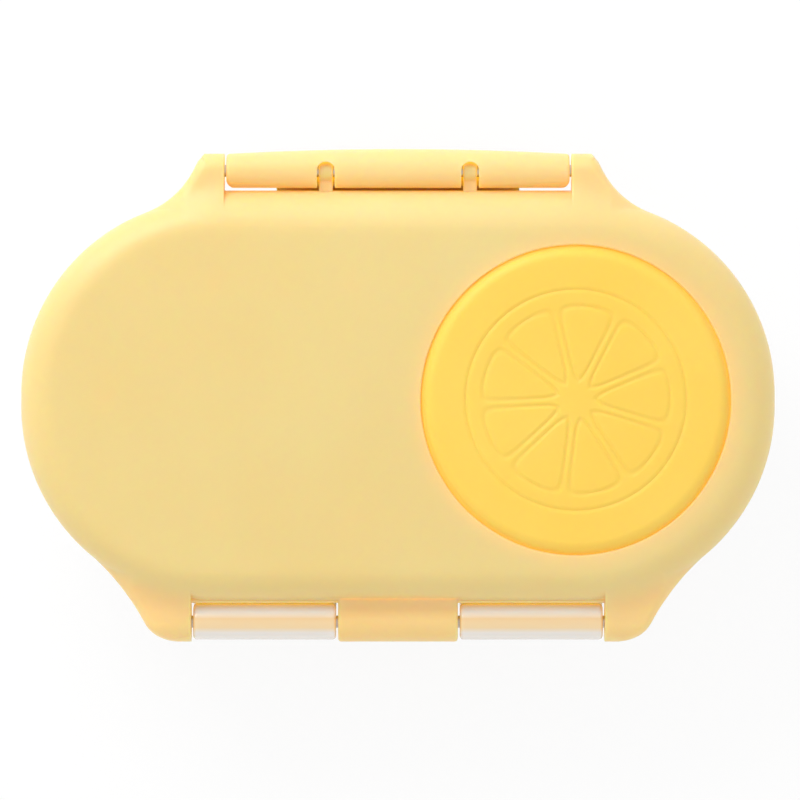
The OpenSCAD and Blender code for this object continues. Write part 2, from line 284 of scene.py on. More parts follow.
@dataclass(frozen=True)
class PaintedGapGlow:
    """Painted light in narrow gaps: an emission that grows as ambient occlusion finds a gap
    narrower, in place of the light that a milky plastic carries down into them.

    Attributes:
        reach_mm: How far off the other side of a gap may be.
        open_share: Share of open sky from which on nothing shows.
        strength: Strength where no sky is seen at all.
        colour: Its sRGB hex colour.
        samples: Rays that feel for the other side.
    """

    reach_mm: float
    open_share: float
    strength: float
    colour: str
    samples: int = 8

    def light(self, tree: bpy.types.NodeTree) -> bpy.types.NodeSocket:
        """Builds the painted glow's strength in a node tree.

        Args:
            tree: The material's node tree.

        Returns:
            The strength, which grows as a gap gets narrower.
        """
        # Ambient occlusion tells how narrow the gap is; the painted glow follows it
        gap = add_node(
            tree,
            "AmbientOcclusion",
            {"samples": self.samples, "Distance": self.reach_mm * MM},
        )
        share = add_node(
            tree,
            "MapRange",
            {"From Max": self.open_share, "To Min": self.strength, "To Max": 0.0},
            {"Value": gap.outputs["AO"]},
        )
        return share.outputs["Result"]


@dataclass(frozen=True)
class Finish:
    """A finish made of one principled shader.

    Attributes:
        name: Name of the material.
        pigment_and_painted_light: Its colours: a pigment drift, or painted light across a bar.
        grain: Its surface.
        constants: Values set straight on the shader's sockets.
        painted_glow: Painted light in its gaps, an emission driven by ambient occlusion, or None.
    """

    name: str
    pigment_and_painted_light: Cloud | PaintedBarLight
    grain: Grain
    constants: dict[str, object]
    painted_glow: PaintedGapGlow | None = None

    def material(self) -> bpy.types.Material:
        """Makes the material, or finds it if it was made before.

        Returns:
            The material.
        """
        found = bpy.data.materials.get(self.name)
        if found:
            return found
        made = bpy.data.materials.new(self.name)
        made.use_nodes = True
        tree = made.node_tree
        tree.nodes.clear()
        shader = add_node(
            tree,
            "BsdfPrincipled",
            self.constants,
            {"Base Color": self.pigment_and_painted_light.colour(tree), "Normal": self.grain.normal(tree)},
        )
        # Painted light: an emission that lights the narrow gaps
        if self.painted_glow:
            shader.inputs["Emission Color"].default_value = linear(self.painted_glow.colour)
            tree.links.new(self.painted_glow.light(tree), shader.inputs["Emission Strength"])
        add_node(tree, "OutputMaterial", links={"Surface": shader.outputs["BSDF"]})
        return made


# Injection-moulded polypropylene off a lightly etched mould: satin, a soft broad highlight, and
# light that soaks in; its gaps show gold instead of black partly through that soaking and partly
# through a painted glow, an emission laid into narrow gaps
LID_PLASTIC = Finish(
    "moulded_polypropylene_pale_yellow",
    Cloud(60, "fad48f", "f9cf87"),
    Grain(0.9, 0.02, 0.3),
    {
        "Roughness": 0.5,
        "IOR": 1.49,
        "Subsurface Weight": 0.9,
        "Subsurface Radius": (1.0, 0.6, 0.2),
        "Subsurface Scale": 5.0 * MM,
        "Coat Weight": 0.35,
        "Coat Roughness": 0.4,
    },
    # Painted light: a gold emission in gaps narrower than about 2 mm
    PaintedGapGlow(reach_mm=2.0, open_share=0.4, strength=0.55, colour="e8bc20"),
)
# Compression-moulded silicone rubber: soft, dense colour, a dull wide highlight
HUB_SILICONE = Finish(
    "silicone_bright_yellow",
    Cloud(40, "ffd460", "ffd057"),
    Grain(0.9, 0.02, 0.3),
    {
        "Roughness": 0.5,
        "IOR": 1.41,
        "Subsurface Weight": 0.6,
        "Subsurface Radius": (1.0, 0.55, 0.15),
        "Subsurface Scale": 2.5 * MM,
    },
)
# The same rubber in the seal, which wipes the rim and is a little duller
SEAL_SILICONE = Finish(
    "silicone_seal_yellow",
    Cloud(30, "f7d06c", "f3c95f"),
    Grain(0.9, 0.02, 0.35),
    {"Roughness": 0.55, "IOR": 1.41},
)
# Injection-moulded polypropylene in the hub's colour: satin
DIVIDER_PLASTIC = Finish(
    "moulded_polypropylene_yellow",
    Cloud(30, "f8d06a", "f5ca60"),
    Grain(0.9, 0.02, 0.3),
    {"Roughness": 0.4, "IOR": 1.49},
)
# Natural polypropylene without pigment: milky and half glossy
LINER_PLASTIC = Finish(
    "moulded_polypropylene_natural",
    Cloud(40, "e9e6de", "e4e1d8"),
    Grain(0.9, 0.02, 0.3),
    {"Roughness": 0.35, "IOR": 1.49, "Subsurface Weight": 0.3, "Subsurface Scale": 2.0 * MM},
)
# Clear copolymer frosted by its mould: milky, glossy on the outside, and it lets light through
TUB_PLASTIC = Finish(
    "frosted_clear_copolymer",
    Cloud(50, "fdfaf6", "fbf7f2"),
    Grain(1.2, 0.02, 0.25),
    {
        "Roughness": 0.28,
        "IOR": 1.49,
        "Transmission Weight": 0.12,
        "Subsurface Weight": 1.0,
        "Subsurface Radius": (1.0, 0.9, 0.8),
        "Subsurface Scale": 5.0 * MM,
        "Coat Weight": 0.6,
        "Coat Roughness": 0.1,
    },
)
# The same copolymer in the solid knuckles, with painted light across them: grey-white at the outer
# edge, a painted highlight at the edge towards the lid, and the yellow lid and the pin painted into
# the middle as if seen through it
KNUCKLE_PLASTIC = Finish(
    "frosted_clear_copolymer_solid",
    # Painted light: the yellow lid painted into the middle, a painted highlight at the edge towards
    # the lid
    PaintedBarLight(
        low_y_mm=-58.9,
        high_y_mm=-50.1,
        stops=(
            (0.0, "ece6de"),
            (0.2, "efe9e2"),
            (0.34, "f3d9aa"),
            (0.6, "f3d5a2"),
            (0.78, "fbf6f4"),
            (1.0, "fffdfd"),
        ),
    ),
    Grain(1.2, 0.02, 0.2),
    {
        "Roughness": 0.22,
        "IOR": 1.49,
        "Specular IOR Level": 0.8,
        "Subsurface Weight": 0.8,
        "Subsurface Radius": (1.0, 0.9, 0.8),
        "Subsurface Scale": 1.5 * MM,
        "Coat Weight": 0.8,
        "Coat Roughness": 0.08,
    },
)
# Stainless wire as it comes off the drawing die: fine, bright, a little dull
PIN_STEEL = Finish(
    "drawn_stainless_wire",
    Cloud(4, "c9cacc", "bcbdc0"),
    Grain(0.5, 0.01, 0.3),
    {"Roughness": 0.3, "Metallic": 1.0},
)


# ---------------------------------------------------------------- modelling by operators


def use(piece: bpy.types.Object) -> bpy.types.Object:
    """Selects one object and nothing else, and makes it the active one.

    Args:
        piece: The object.

    Returns:
        The same object.
    """
    bpy.ops.object.select_all(action="DESELECT")
    piece.select_set(True)
    bpy.context.view_layer.objects.active = piece
    return piece


def modify(piece: bpy.types.Object, kind: str, **settings: object) -> None:
    """Adds a modifier to an object and applies it.

    Args:
        piece: The object.
        kind: The modifier's type.
        **settings: Its settings by name.
    """
    use(piece)
    modifier = piece.modifiers.new(kind.lower(), kind)
    for name, value in settings.items():
        setattr(modifier, name, value)
    bpy.ops.object.modifier_apply(modifier=modifier.name)


def combine(piece: bpy.types.Object, tool: bpy.types.Object, operation: Solid) -> None:
    """Joins, cuts or intersects one closed mesh with another, and deletes the other.

    Args:
        piece: The object that is changed.
        tool: The object that changes it.
        operation: What the one does to the other.
    """
    modify(piece, "BOOLEAN", operation=operation.value, solver="EXACT", object=tool)
    bpy.data.objects.remove(tool)


def soften(
    piece: bpy.types.Object,
    width_mm: float,
    sharper_than: float = 40,
    steps: int = 3,
) -> None:
    """Rounds the sharp edges of a piece.

    Args:
        piece: The object.
        width_mm: Width of the rounding.
        sharper_than: Angle in degrees from which an edge counts as sharp.
        steps: Faces across the rounding.
    """
    modify(
        piece,
        "BEVEL",
        width=width_mm * MM,
        segments=steps,
        limit_method="ANGLE",
        angle_limit=math.radians(sharper_than),
        use_clamp_overlap=False,
    )


def clean(piece: bpy.types.Object, gap_mm: float = 0.01) -> None:
    """Merges doubles and removes faces without area.

    Args:
        piece: The object.
        gap_mm: Distance below which vertices are merged.
    """
    use(piece)
    bpy.ops.object.mode_set(mode="EDIT")
    bpy.ops.mesh.select_all(action="SELECT")
    bpy.ops.mesh.remove_doubles(threshold=gap_mm * MM)
    bpy.ops.mesh.dissolve_degenerate(threshold=gap_mm * MM)
    bpy.ops.object.mode_set(mode="OBJECT")


def pick(piece: bpy.types.Object, test: Callable[[Vector], bool]) -> None:
    """Selects the vertices of the active object by their place, and stays in edit mode.

    Args:
        piece: The active object, in edit mode.
        test: Tells from a place in millimetres whether a vertex is picked.
    """
    bpy.ops.mesh.select_mode(type="VERT")
    bpy.ops.mesh.select_all(action="DESELECT")
    bpy.ops.object.mode_set(mode="OBJECT")
    for vertex in piece.data.vertices:
        vertex.select = test(vertex.co / MM)
    bpy.ops.object.mode_set(mode="EDIT")


def close_and_turn_out() -> None:
    """Merges doubles, fills open rings and turns all faces outwards, then leaves edit mode."""
    bpy.ops.mesh.select_all(action="SELECT")
    bpy.ops.mesh.remove_doubles(threshold=SAME_POINT * MM)
    bpy.ops.mesh.fill_holes(sides=0)
    bpy.ops.mesh.select_all(action="SELECT")
    bpy.ops.mesh.normals_make_consistent(inside=False)
    bpy.ops.object.mode_set(mode="OBJECT")


def arc(centre: Point, radius: float, start: float, end: float, steps: int = 16) -> list[Point]:
    """Points along an arc.

    Args:
        centre: Centre of the arc.
        radius: Its radius.
        start: Angle of its first point, in degrees.
        end: Angle of its last point, in degrees.
        steps: Number of stretches.

    Returns:
        The points in order.
    """
    turns = [math.radians(start + (end - start) * i / steps) for i in range(steps + 1)]
    return [(centre[0] + radius * math.cos(t), centre[1] + radius * math.sin(t)) for t in turns]


def bearing(start: Point, end: Point) -> float:
    """Direction from one point to another, in degrees."""
    return math.degrees(math.atan2(end[1] - start[1], end[0] - start[0]))


def meet(a: Point, ra: float, b: Point, rb: float, side: int) -> Point:
    """The point where two circles meet.

    Args:
        a: Centre of the first circle.
        ra: Its radius.
        b: Centre of the second circle.
        rb: Its radius.
        side: 1 or -1, for one meeting point or the other.

    Returns:
        The point.
    """
    d = math.dist(a, b)
    u = ((b[0] - a[0]) / d, (b[1] - a[1]) / d)
    along = (ra * ra - rb * rb + d * d) / (2 * d)
    across = side * math.sqrt(ra * ra - along * along)
    return (a[0] + along * u[0] - across * u[1], a[1] + along * u[1] + across * u[0])


def prism(name: str, outline: list[Point], plane: Plane, stations: list[float]) -> bpy.types.Object:
    """Draws an outline vertex by vertex, fills it and pulls it through a row of stations.

    Args:
        name: Name of the new object.
        outline: The outline's points in millimetres.
        plane: The plane that it is drawn in.
        stations: Places of the outline along its own normal, in millimetres.

    Returns:
        The new object, a closed mesh.
    """

    def place(point: Point, along: float) -> Vector:
        """Puts a point of the outline in space.

        Args:
            point: The point in the outline's plane, in millimetres.
            along: Its place along the outline's normal, in millimetres.

        Returns:
            Its place in metres.
        """
        if plane is Plane.SIDE:
            return Vector((along, *point)) * MM
        return Vector((*point, along)) * MM

    bpy.ops.object.select_all(action="DESELECT")
    bpy.ops.mesh.primitive_plane_add(size=MM, location=(0, 0, 0))
    piece = bpy.context.object
    piece.name = name
    bpy.ops.object.mode_set(mode="EDIT")
    bpy.ops.mesh.select_mode(type="VERT")
    bpy.ops.mesh.select_all(action="SELECT")
    bpy.ops.mesh.merge(type="CENTER")
    corners = [place(point, stations[0]) for point in outline]
    corners.append(corners[0])
    bpy.ops.transform.translate(value=corners[0])
    for was, now in zip(corners, corners[1:]):
        bpy.ops.mesh.extrude_vertices_move(TRANSFORM_OT_translate={"value": now - was})
    bpy.ops.mesh.select_all(action="SELECT")
    bpy.ops.mesh.remove_doubles(threshold=SAME_POINT * MM)
    bpy.ops.mesh.select_all(action="SELECT")
    bpy.ops.mesh.edge_face_add()
    for was, now in zip(stations, stations[1:]):
        pull = place((0, 0), now) - place((0, 0), was)
        bpy.ops.mesh.extrude_region_move(TRANSFORM_OT_translate={"value": pull})
    close_and_turn_out()
    return piece


def lathe(
    name: str,
    rings: list[Point],
    stretch: Point = (0.0, 0.0),
    around: int = 192,
) -> bpy.types.Object:
    """Builds a round body ring by ring, and draws its four quarters apart into a rounded plan.

    Args:
        name: Name of the new object.
        rings: Radius and height of each ring in millimetres.
        stretch: How far each quarter moves along X and Y, in millimetres.
        around: Faces round the body.

    Returns:
        The new object, a closed mesh.
    """
    bpy.ops.object.select_all(action="DESELECT")
    bpy.ops.mesh.primitive_circle_add(
        vertices=around,
        radius=rings[0][0] * MM,
        location=(0, 0, rings[0][1] * MM),
        rotation=(0, 0, math.pi / around),
    )
    piece = bpy.context.object
    piece.name = name
    bpy.ops.object.transform_apply()
    bpy.ops.object.mode_set(mode="EDIT")
    bpy.ops.mesh.select_all(action="SELECT")
    for (r_was, z_was), (r_now, z_now) in zip(rings, rings[1:]):
        bpy.ops.mesh.extrude_edges_move()
        share = r_now / r_was
        bpy.ops.transform.resize(value=(share, share, 1), center_override=(0, 0, 0))
        bpy.ops.transform.translate(value=(0, 0, (z_now - z_was) * MM))
    for axis in (0, 1):
        for side in (-1, 1):
            if stretch[axis]:
                pick(piece, lambda place: side * place[axis] > 0)
                shift = Vector((0, 0, 0))
                shift[axis] = side * stretch[axis] * MM
                bpy.ops.transform.translate(value=shift)
    close_and_turn_out()
    return piece


def rod(
    name: str,
    radius: float,
    length: float,
    centre: Vector,
    axis: Axis = Axis.Z,
    around: int = 96,
) -> bpy.types.Object:
    """Adds a plain round body or cutting tool.

    Args:
        name: Name of the new object.
        radius: Its radius in millimetres.
        length: Its length in millimetres.
        centre: Its middle in millimetres.
        axis: The axis that it lies along.
        around: Faces round it.

    Returns:
        The new object.
    """
    bpy.ops.object.select_all(action="DESELECT")
    bpy.ops.mesh.primitive_cylinder_add(
        vertices=around,
        radius=radius * MM,
        depth=length * MM,
        location=centre * MM,
        rotation=(0, math.pi / 2 if axis is Axis.X else 0, 0),
    )
    piece = bpy.context.object
    piece.name = name
    bpy.ops.object.transform_apply()
    return piece


def block(name: str, low: Vector, high: Vector) -> bpy.types.Object:
    """Adds a box.

    Args:
        name: Name of the new object.
        low: Its lowest corner in millimetres.
        high: Its highest corner in millimetres.

    Returns:
        The new object.
    """
    bpy.ops.object.select_all(action="DESELECT")
    bpy.ops.mesh.primitive_cube_add(size=1, location=(low + high) / 2 * MM, scale=(high - low) * MM)
    piece = bpy.context.object
    piece.name = name
    bpy.ops.object.transform_apply()
    return piece


def join(pieces: Iterable[bpy.types.Object]) -> bpy.types.Object:
    """Makes one object of several that don't touch each other.

    Args:
        pieces: The objects.

    Returns:
        The first of them, which now holds all their meshes.
    """
    bpy.ops.object.select_all(action="DESELECT")
    row = list(pieces)
    for piece in row:
        piece.select_set(True)
    bpy.context.view_layer.objects.active = row[0]
    bpy.ops.object.join()
    return row[0]


def settle(
    piece: bpy.types.Object,
    finish: Finish,
    body: Body,
    node: str,
    smooth_angle: float = 35.0,
) -> bpy.types.Object:
    """Gives a modelled piece its shading and finish, puts it on its body and hides the CAD node
    that it stands for.

    Args:
        piece: The finished object.
        finish: Its finish.
        body: The moving group that it rides on.
        node: The CAD node that it replaces.
        smooth_angle: Edges sharper than this many degrees stay sharp.

    Returns:
        The same object.
    """
    clean(piece, 0.005)
    bpy.ops.object.shade_smooth_by_angle(angle=math.radians(smooth_angle))
    modify(piece, "WEIGHTED_NORMAL", keep_sharp=True, mode="FACE_AREA", weight=50)
    piece.data.materials.clear()
    piece.data.materials.append(finish.material())
    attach(piece, body.value)
    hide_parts(node)
    LOG.info("%s: %d faces, rides on %s", piece.name, len(piece.data.polygons), body.value)
    return piece


def dress(node: str, finish: Finish) -> None:
    """Gives a CAD node that stays in view its finish.

    Args:
        node: The node's name.
        finish: Its finish.
    """
    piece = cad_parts[node]
    piece.data.materials.clear()
    piece.data.materials.append(finish.material())
    LOG.info("%s: dressed as %s", node, finish.name)


# ---------------------------------------------------------------- the container's pieces


@dataclass
class Ear:
    """One pair of ears that stand out from the lid and hold a pin between them, in millimetres.

    Attributes:
        inner_x: Distance of the inner face from the middle.
        tip_t: Thickness at the tip.
        axis_y: Distance of the pin from the middle line.
        axis_z: Height of the pin.
        barrel_r: Radius of the ear round the pin.
        flare_r: Radius of the hollow flare that runs into the lid.
        tip_r: Radius of the tip's corner.
        side: 1 for the latch's side and -1 for the hinge's side.
        edge_r: Rounding of the edge along the flare.
        blend: Width of the hollow between the ear and the lid's shoulder.
        reach: How far the ear's skin runs in over the lid.
        swell: How far the wall beside the inner face stands out of the lid's outline.
        swell_run: Length in which that wall runs back to the outline.
        lip: Rounding of the edge along the inner face.
        bite: How deep the skin and the flare's end are sunk into the lid.
        fade: Distance from the lid in which the hollow grows to its full width.
        margin: How far cutting tools and solids reach past the ear's own form.
    """

    inner_x: float
    tip_t: float
    axis_y: float
    axis_z: float
    barrel_r: float
    flare_r: float
    tip_r: float
    side: int
    edge_r: float
    blend: float
    reach: float
    swell: float = 0.0
    swell_run: float = 14.0
    lip: float = 0.4
    bite: float = 0.05
    fade: float = 4.0
    margin: float = 1.0

    @property
    def tip_y(self) -> float:
        """Distance of the tip from the middle line."""
        return self.axis_y + self.barrel_r

    def circles(self, lid: "Lid") -> tuple[Point, Point, Point]:
        """Centre of the flare, centre of the tip's corner, and the point where the flare ends.

        Args:
            lid: The lid that carries the ear.

        Returns:
            The three points.
        """
        corner = (lid.corner_x, lid.corner_y)
        tip = (self.inner_x + self.tip_t, self.tip_y)
        c = meet(corner, lid.corner_r + self.flare_r - self.bite, tip, self.flare_r, -1)
        reach, end_r = math.dist(corner, c), lid.corner_r - self.bite
        touch = tuple(corner[i] + end_r * (c[i] - corner[i]) / reach for i in (0, 1))
        o_y = tip[1] - self.tip_r
        run = math.sqrt((self.flare_r + self.tip_r) ** 2 - (c[1] - o_y) ** 2)
        return c, (c[0] - run, o_y), touch

    def edge(self, lid: "Lid") -> list[Point]:
        """Outer edge from the inner face round the tip and along the flare to the lid.

        Args:
            lid: The lid that carries the ear.

        Returns:
            The edge's points in order.
        """
        c, o, touch = self.circles(lid)
        lip_shares = (0, 0.08, 0.25, 0.55, 1)
        points = [(self.inner_x + share * self.lip, self.tip_y) for share in lip_shares]
        x = points[-1][0]
        steps = max(round(o[0] - x), 1)
        points += [(x + (o[0] - x) * i / steps, self.tip_y) for i in range(1, steps)]
        points += arc(o, self.tip_r, 90, bearing(o, c), 12)
        points += arc(c, self.flare_r, bearing(c, o) % 360, bearing(c, touch) % 360, 30)[1:]
        return points

    def depth(self, lid: "Lid", x: float, y: float, z: float, blend: float) -> float:
        """Distance of a place from the blended surface of lid and ear, negative inside.

        Args:
            lid: The lid that carries the ear.
            x: The place's distance from the middle.
            y: Its distance from the middle line.
            z: Its height.
            blend: Width of the hollow there.

        Returns:
            The distance.
        """
        run = min(max((x - self.inner_x) / self.swell_run, 0), 1)
        curve = lid.shoulder_r + self.swell * (1 - run * run * (3 - 2 * run))
        out = math.hypot(max(x - lid.corner_x, 0), max(y - lid.corner_y, 0))
        u = out - lid.corner_r + lid.shoulder_r
        w = z - (lid.top_z - curve)
        shoulder = math.hypot(max(u, 0), max(w, 0)) + min(max(u, w), 0) - curve + self.bite
        c, o, _ = self.circles(lid)
        turn, first = math.atan2(y - o[1], x - o[0]), math.atan2(c[1] - o[1], c[0] - o[0])
        round_r = self.edge_r
        if x <= o[0]:
            q, round_r = -math.inf, 0.0
        elif turn > first:
            q = math.dist((x, y), o) - self.tip_r
            round_r *= math.cos(turn) / math.cos(first)
        else:
            q = self.flare_r - math.dist((x, y), c)
        if y <= self.axis_y:
            b = z - self.axis_z - self.barrel_r
        else:
            b = math.hypot(y - self.axis_y, max(z - self.axis_z, 0)) - self.barrel_r
        q, b = q + round_r, b + round_r
        ear = math.hypot(max(q, 0), max(b, 0)) + min(max(q, b), 0) - round_r
        near = max(blend - abs(shoulder - ear), 0)
        return min(shoulder, ear) - near * near / (4 * max(blend, 0.01))

    def top(self, lid: "Lid", x: float, y: float, blend: float) -> float:
        """Height of the blended surface at a place.

        Args:
            lid: The lid that carries the ear.
            x: The place's distance from the middle.
            y: Its distance from the middle line.
            blend: Width of the hollow there.

        Returns:
            The height.
        """
        low, high, halvings = lid.skirt_z, lid.top_z + self.margin, 26
        for _ in range(halvings):
            z = (low + high) / 2
            if self.depth(lid, x, y, z, blend) < 0:
                low = z
            else:
                high = z
        t = min(max(x - self.inner_x, 0), self.lip) / self.lip
        return low - self.lip * (1 - math.sqrt(1 - (1 - t) ** 2)) * (y > lid.half_y)

    def skin(self, lid: "Lid", rows: int = 28) -> bpy.types.Object:
        """Models the upper skin of the right-hand ear as a solid that reaches far down.

        Each vertex of a grid is set on the blended surface by itself, which no operator does.

        Args:
            lid: The lid that carries the ear.
            rows: Rows of faces from the lid out to the edge.

        Returns:
            The solid.
        """
        edge = self.edge(lid)
        end_x = edge[-1][0]
        inner_r = lid.corner_r - self.reach
        inner_end_x = lid.corner_x + inner_r * (end_x - lid.corner_x) / lid.corner_r
        share = (inner_end_x - self.inner_x) / (end_x - self.inner_x)
        just_inside = 0.9998
        bpy.ops.object.select_all(action="DESELECT")
        bpy.ops.mesh.primitive_grid_add(x_subdivisions=len(edge) - 1, y_subdivisions=rows, size=1)
        skin = bpy.context.object
        skin.name = "ear"
        for vertex in skin.data.vertices:
            out = edge[round((vertex.co.x + 0.5) * (len(edge) - 1))]
            along = math.sin(math.pi / 2 * (vertex.co.y + 0.5))
            x_in = self.inner_x + (out[0] - self.inner_x) * share
            y_in = lid.corner_y + math.sqrt(inner_r**2 - (x_in - lid.corner_x) ** 2)
            gap = math.hypot(max(out[0] - lid.corner_x, 0), out[1] - lid.corner_y) - lid.corner_r
            blend = self.blend * min(max(gap / self.fade, 0), 1)
            run_x, run_y = out[0] - x_in, out[1] - y_in
            felt = min(along, just_inside)
            z = self.top(lid, x_in + run_x * felt, y_in + run_y * felt, blend)
            vertex.co = Vector((x_in + run_x * along, y_in + run_y * along, z)) * MM
        bpy.ops.object.mode_set(mode="EDIT")
        bpy.ops.mesh.select_all(action="SELECT")
        bpy.ops.mesh.extrude_region_move()
        floor_z = self.axis_z - self.barrel_r - 2 * self.margin
        bpy.ops.transform.resize(value=(1, 1, 0), center_override=(0, 0, floor_z * MM))
        close_and_turn_out()
        return skin

    def build(self, lid: "Lid", mirrored: bool) -> bpy.types.Object:
        """Models one ear of the pair.

        Args:
            lid: The lid that carries it.
            mirrored: True for the left-hand ear.

        Returns:
            The ear, a closed mesh.
        """
        ear = self.skin(lid)
        low = lid.skirt_z + 4 * lid.stagger
        start = 180 + math.degrees(math.asin(min((self.axis_z - low) / self.barrel_r, 1.0)))
        near_y, past_y, past_z, end = 20, self.tip_y + self.margin, 60, 356
        outline = [(near_y, past_z), (near_y, low)]
        outline += arc((self.axis_y, self.axis_z), self.barrel_r, start, end, 24)
        outline += [(past_y, outline[-1][1]), (past_y, past_z)]
        span = [self.inner_x - self.margin, lid.corner_x + lid.corner_r]
        combine(ear, prism("ear_side", outline, Plane.SIDE, span), Solid.INTERSECT)
        use(ear)
        ear.scale = (-1 if mirrored else 1, self.side, 1)
        bpy.ops.object.transform_apply()
        bpy.ops.object.mode_set(mode="EDIT")
        close_and_turn_out()
        return ear


HINGE_EARS = Ear(
    inner_x=50.8,
    tip_t=9.2,
    axis_y=HINGE_AXIS[0],
    axis_z=HINGE_AXIS[1],
    barrel_r=4.9,
    flare_r=60.0,
    tip_r=9.0,
    side=-1,
    edge_r=2.5,
    blend=5.0,
    reach=5.0,
)
LATCH_EARS = Ear(
    inner_x=42.6,
    tip_t=6.0,
    axis_y=LATCH_AXIS[0],
    axis_z=LATCH_AXIS[1],
    barrel_r=4.2,
    flare_r=22.0,
    tip_r=1.5,
    side=1,
    edge_r=2.5,
    blend=4.0,
    reach=8.6,
    swell=2.3,
)


@dataclass
class Lid:
    """The pale yellow shell of the lid, with its ears, lugs and knuckle, in millimetres.

    Attributes:
        corner_r: Radius of the outline's corners.
        corner_x: Distance of each corner's centre from the middle, along X.
        corner_y: The same along Y.
        skirt_z: Height of its lower edge.
        top_z: Height of its flat top.
        shoulder_r: Radius round the top edge.
        wall: Thickness of its wall.
        valley_r: Radius of the hollow between shoulder and knuckle.
        hub_x: Place of the hub's opening.
        opening_r: Radius of that opening.
        lip_r: Rounding of the opening's edge.
        lobe_r: Radius round the wall behind the latch.
        lobe_x: Distance of each end of that wall from the middle.
        stagger: Step between the undersides of joined forms, so that no two lie in one plane.
        soft: Rounding of the lower edge.
        bite: How deep the middle knuckle's hollow is sunk into the shoulder.
        knuckle_r: Radius of the middle knuckle.
        knuckle_x: Half of its width.
        knuckle_soft: Rounding of its ends.
        back_x: Half of the width of the wall behind the tub's knuckles.
        back_y: Distance of that wall's two faces from the middle line.
        back_z: Height of its top.
        lug_x: Distance of each lug from the middle.
        lug_t: Thickness of a lug.
        lug_eye_r: Radius of a lug's eye.
        lug_arm: Height of a lug's arm.
        lug_y: Where the arm starts in the lid's wall.
        lug_soft: Rounding of a lug's edges.
        post_r: Radius of a post.
        post_h: Height of a post.
        post_z: Height of a post's middle.
        cavity_z: Height at which the cavity's solid starts.
        hinge_blind_x: Distance of the hinge bore's closed end from the middle.
        latch_blind_x: The same for the latch's bore.
    """

    corner_r: float = 47.7
    corner_x: float = 44.8
    corner_y: float = 1.5
    skirt_z: float = 31.0
    top_z: float = 45.0
    shoulder_r: float = 8.0
    wall: float = 2.2
    valley_r: float = 3.0
    hub_x: float = 43.5
    opening_r: float = 37.9
    lip_r: float = 0.5
    lobe_r: float = 10.3
    lobe_x: float = 42.6
    stagger: float = 0.03
    soft: float = 0.4
    bite: float = 0.05
    knuckle_r: float = 4.9
    knuckle_x: float = 14.7
    knuckle_soft: float = 0.7
    back_x: float = 53.0
    back_y: Point = (47.0, 49.8)
    back_z: float = 38.3
    lug_x: float = 17.7
    lug_t: float = 3.4
    lug_eye_r: float = 2.7
    lug_arm: float = 2.2
    lug_y: float = 50.6
    lug_soft: float = 0.35
    post_r: float = 2.5
    post_h: float = 7.6
    post_z: float = 40.2
    cavity_z: float = 20.0
    hinge_blind_x: float = 55.8
    latch_blind_x: float = 45.1

    @property
    def half_y(self) -> float:
        """Half of the outline's depth."""
        return self.corner_r + self.corner_y

    def form(self, name: str, inset: float, low_z: float) -> bpy.types.Object:
        """Builds the lid's solid form, drawn in by an inset.

        Args:
            name: Name of the new object.
            inset: Distance from the lid's own surface.
            low_z: Height of its flat underside.

        Returns:
            The form, a closed mesh.
        """
        r = self.corner_r - inset
        curve = self.shoulder_r - inset
        top = self.top_z - inset
        inner_ring = r - curve - 1.5
        rings = [(HEART_R, low_z), (r - self.soft, low_z), (r, low_z + self.soft)]
        rings += arc((r - curve, top - curve), curve, 0, 90, 14)
        rings += [(inner_ring, top), (HEART_R, top)]
        return lathe(name, rings, (self.corner_x, self.corner_y))

    def knuckle(self) -> bpy.types.Object:
        """Models the middle knuckle with the hollow that joins it to the shoulder.

        Returns:
            The knuckle, a closed mesh.
        """
        axis, r = HINGE_AXIS, self.knuckle_r
        s = (self.half_y - self.shoulder_r, self.top_z - self.shoulder_r)
        v = meet(s, self.shoulder_r + self.valley_r - self.bite, axis, r + self.valley_r, 1)
        low = self.skirt_z + 3 * self.stagger
        start = 180 + math.degrees(math.asin(min((axis[1] - low) / r, 1.0)))
        points = [(s[0], low)]
        points += arc(axis, r, start, 360 + bearing(axis, v), 28)
        points += arc(v, self.valley_r, bearing(v, axis), bearing(v, s), 10)[1:]
        points.append(s)
        section = [(-y, z) for y, z in points]
        ends = [-self.knuckle_x, self.knuckle_x]
        knuckle = prism("middle_knuckle", section, Plane.SIDE, ends)
        soften(knuckle, self.knuckle_soft)
        return knuckle

    def back_wall(self) -> bpy.types.Object:
        """Models the straight wall behind the tub's knuckles.

        Returns:
            The wall, a closed mesh.
        """
        near, far = self.back_y
        low = Vector((-self.back_x, -far, self.skirt_z + 2 * self.stagger))
        back = block("hinge_wall", low, Vector((self.back_x, -near, self.back_z)))
        soften(back, self.soft)
        return back

    def latch_wall(self) -> bpy.types.Object:
        """Models the rounded wall behind the latch.

        Returns:
            The wall, a closed mesh.
        """
        middle_z = self.top_z - self.lobe_r - self.stagger
        low, r, last = self.skirt_z + self.stagger, self.lobe_r, 87
        rings = [(HEART_R, low), (r - self.soft, low), (r, low + self.soft)]
        rings += arc((0, middle_z), r, 0, last, 16)
        wall = lathe("latch_wall", rings, (self.lobe_x, 0))
        use(wall)
        wall.location.y = (self.half_y - self.shoulder_r) * MM
        bpy.ops.object.transform_apply()
        return wall

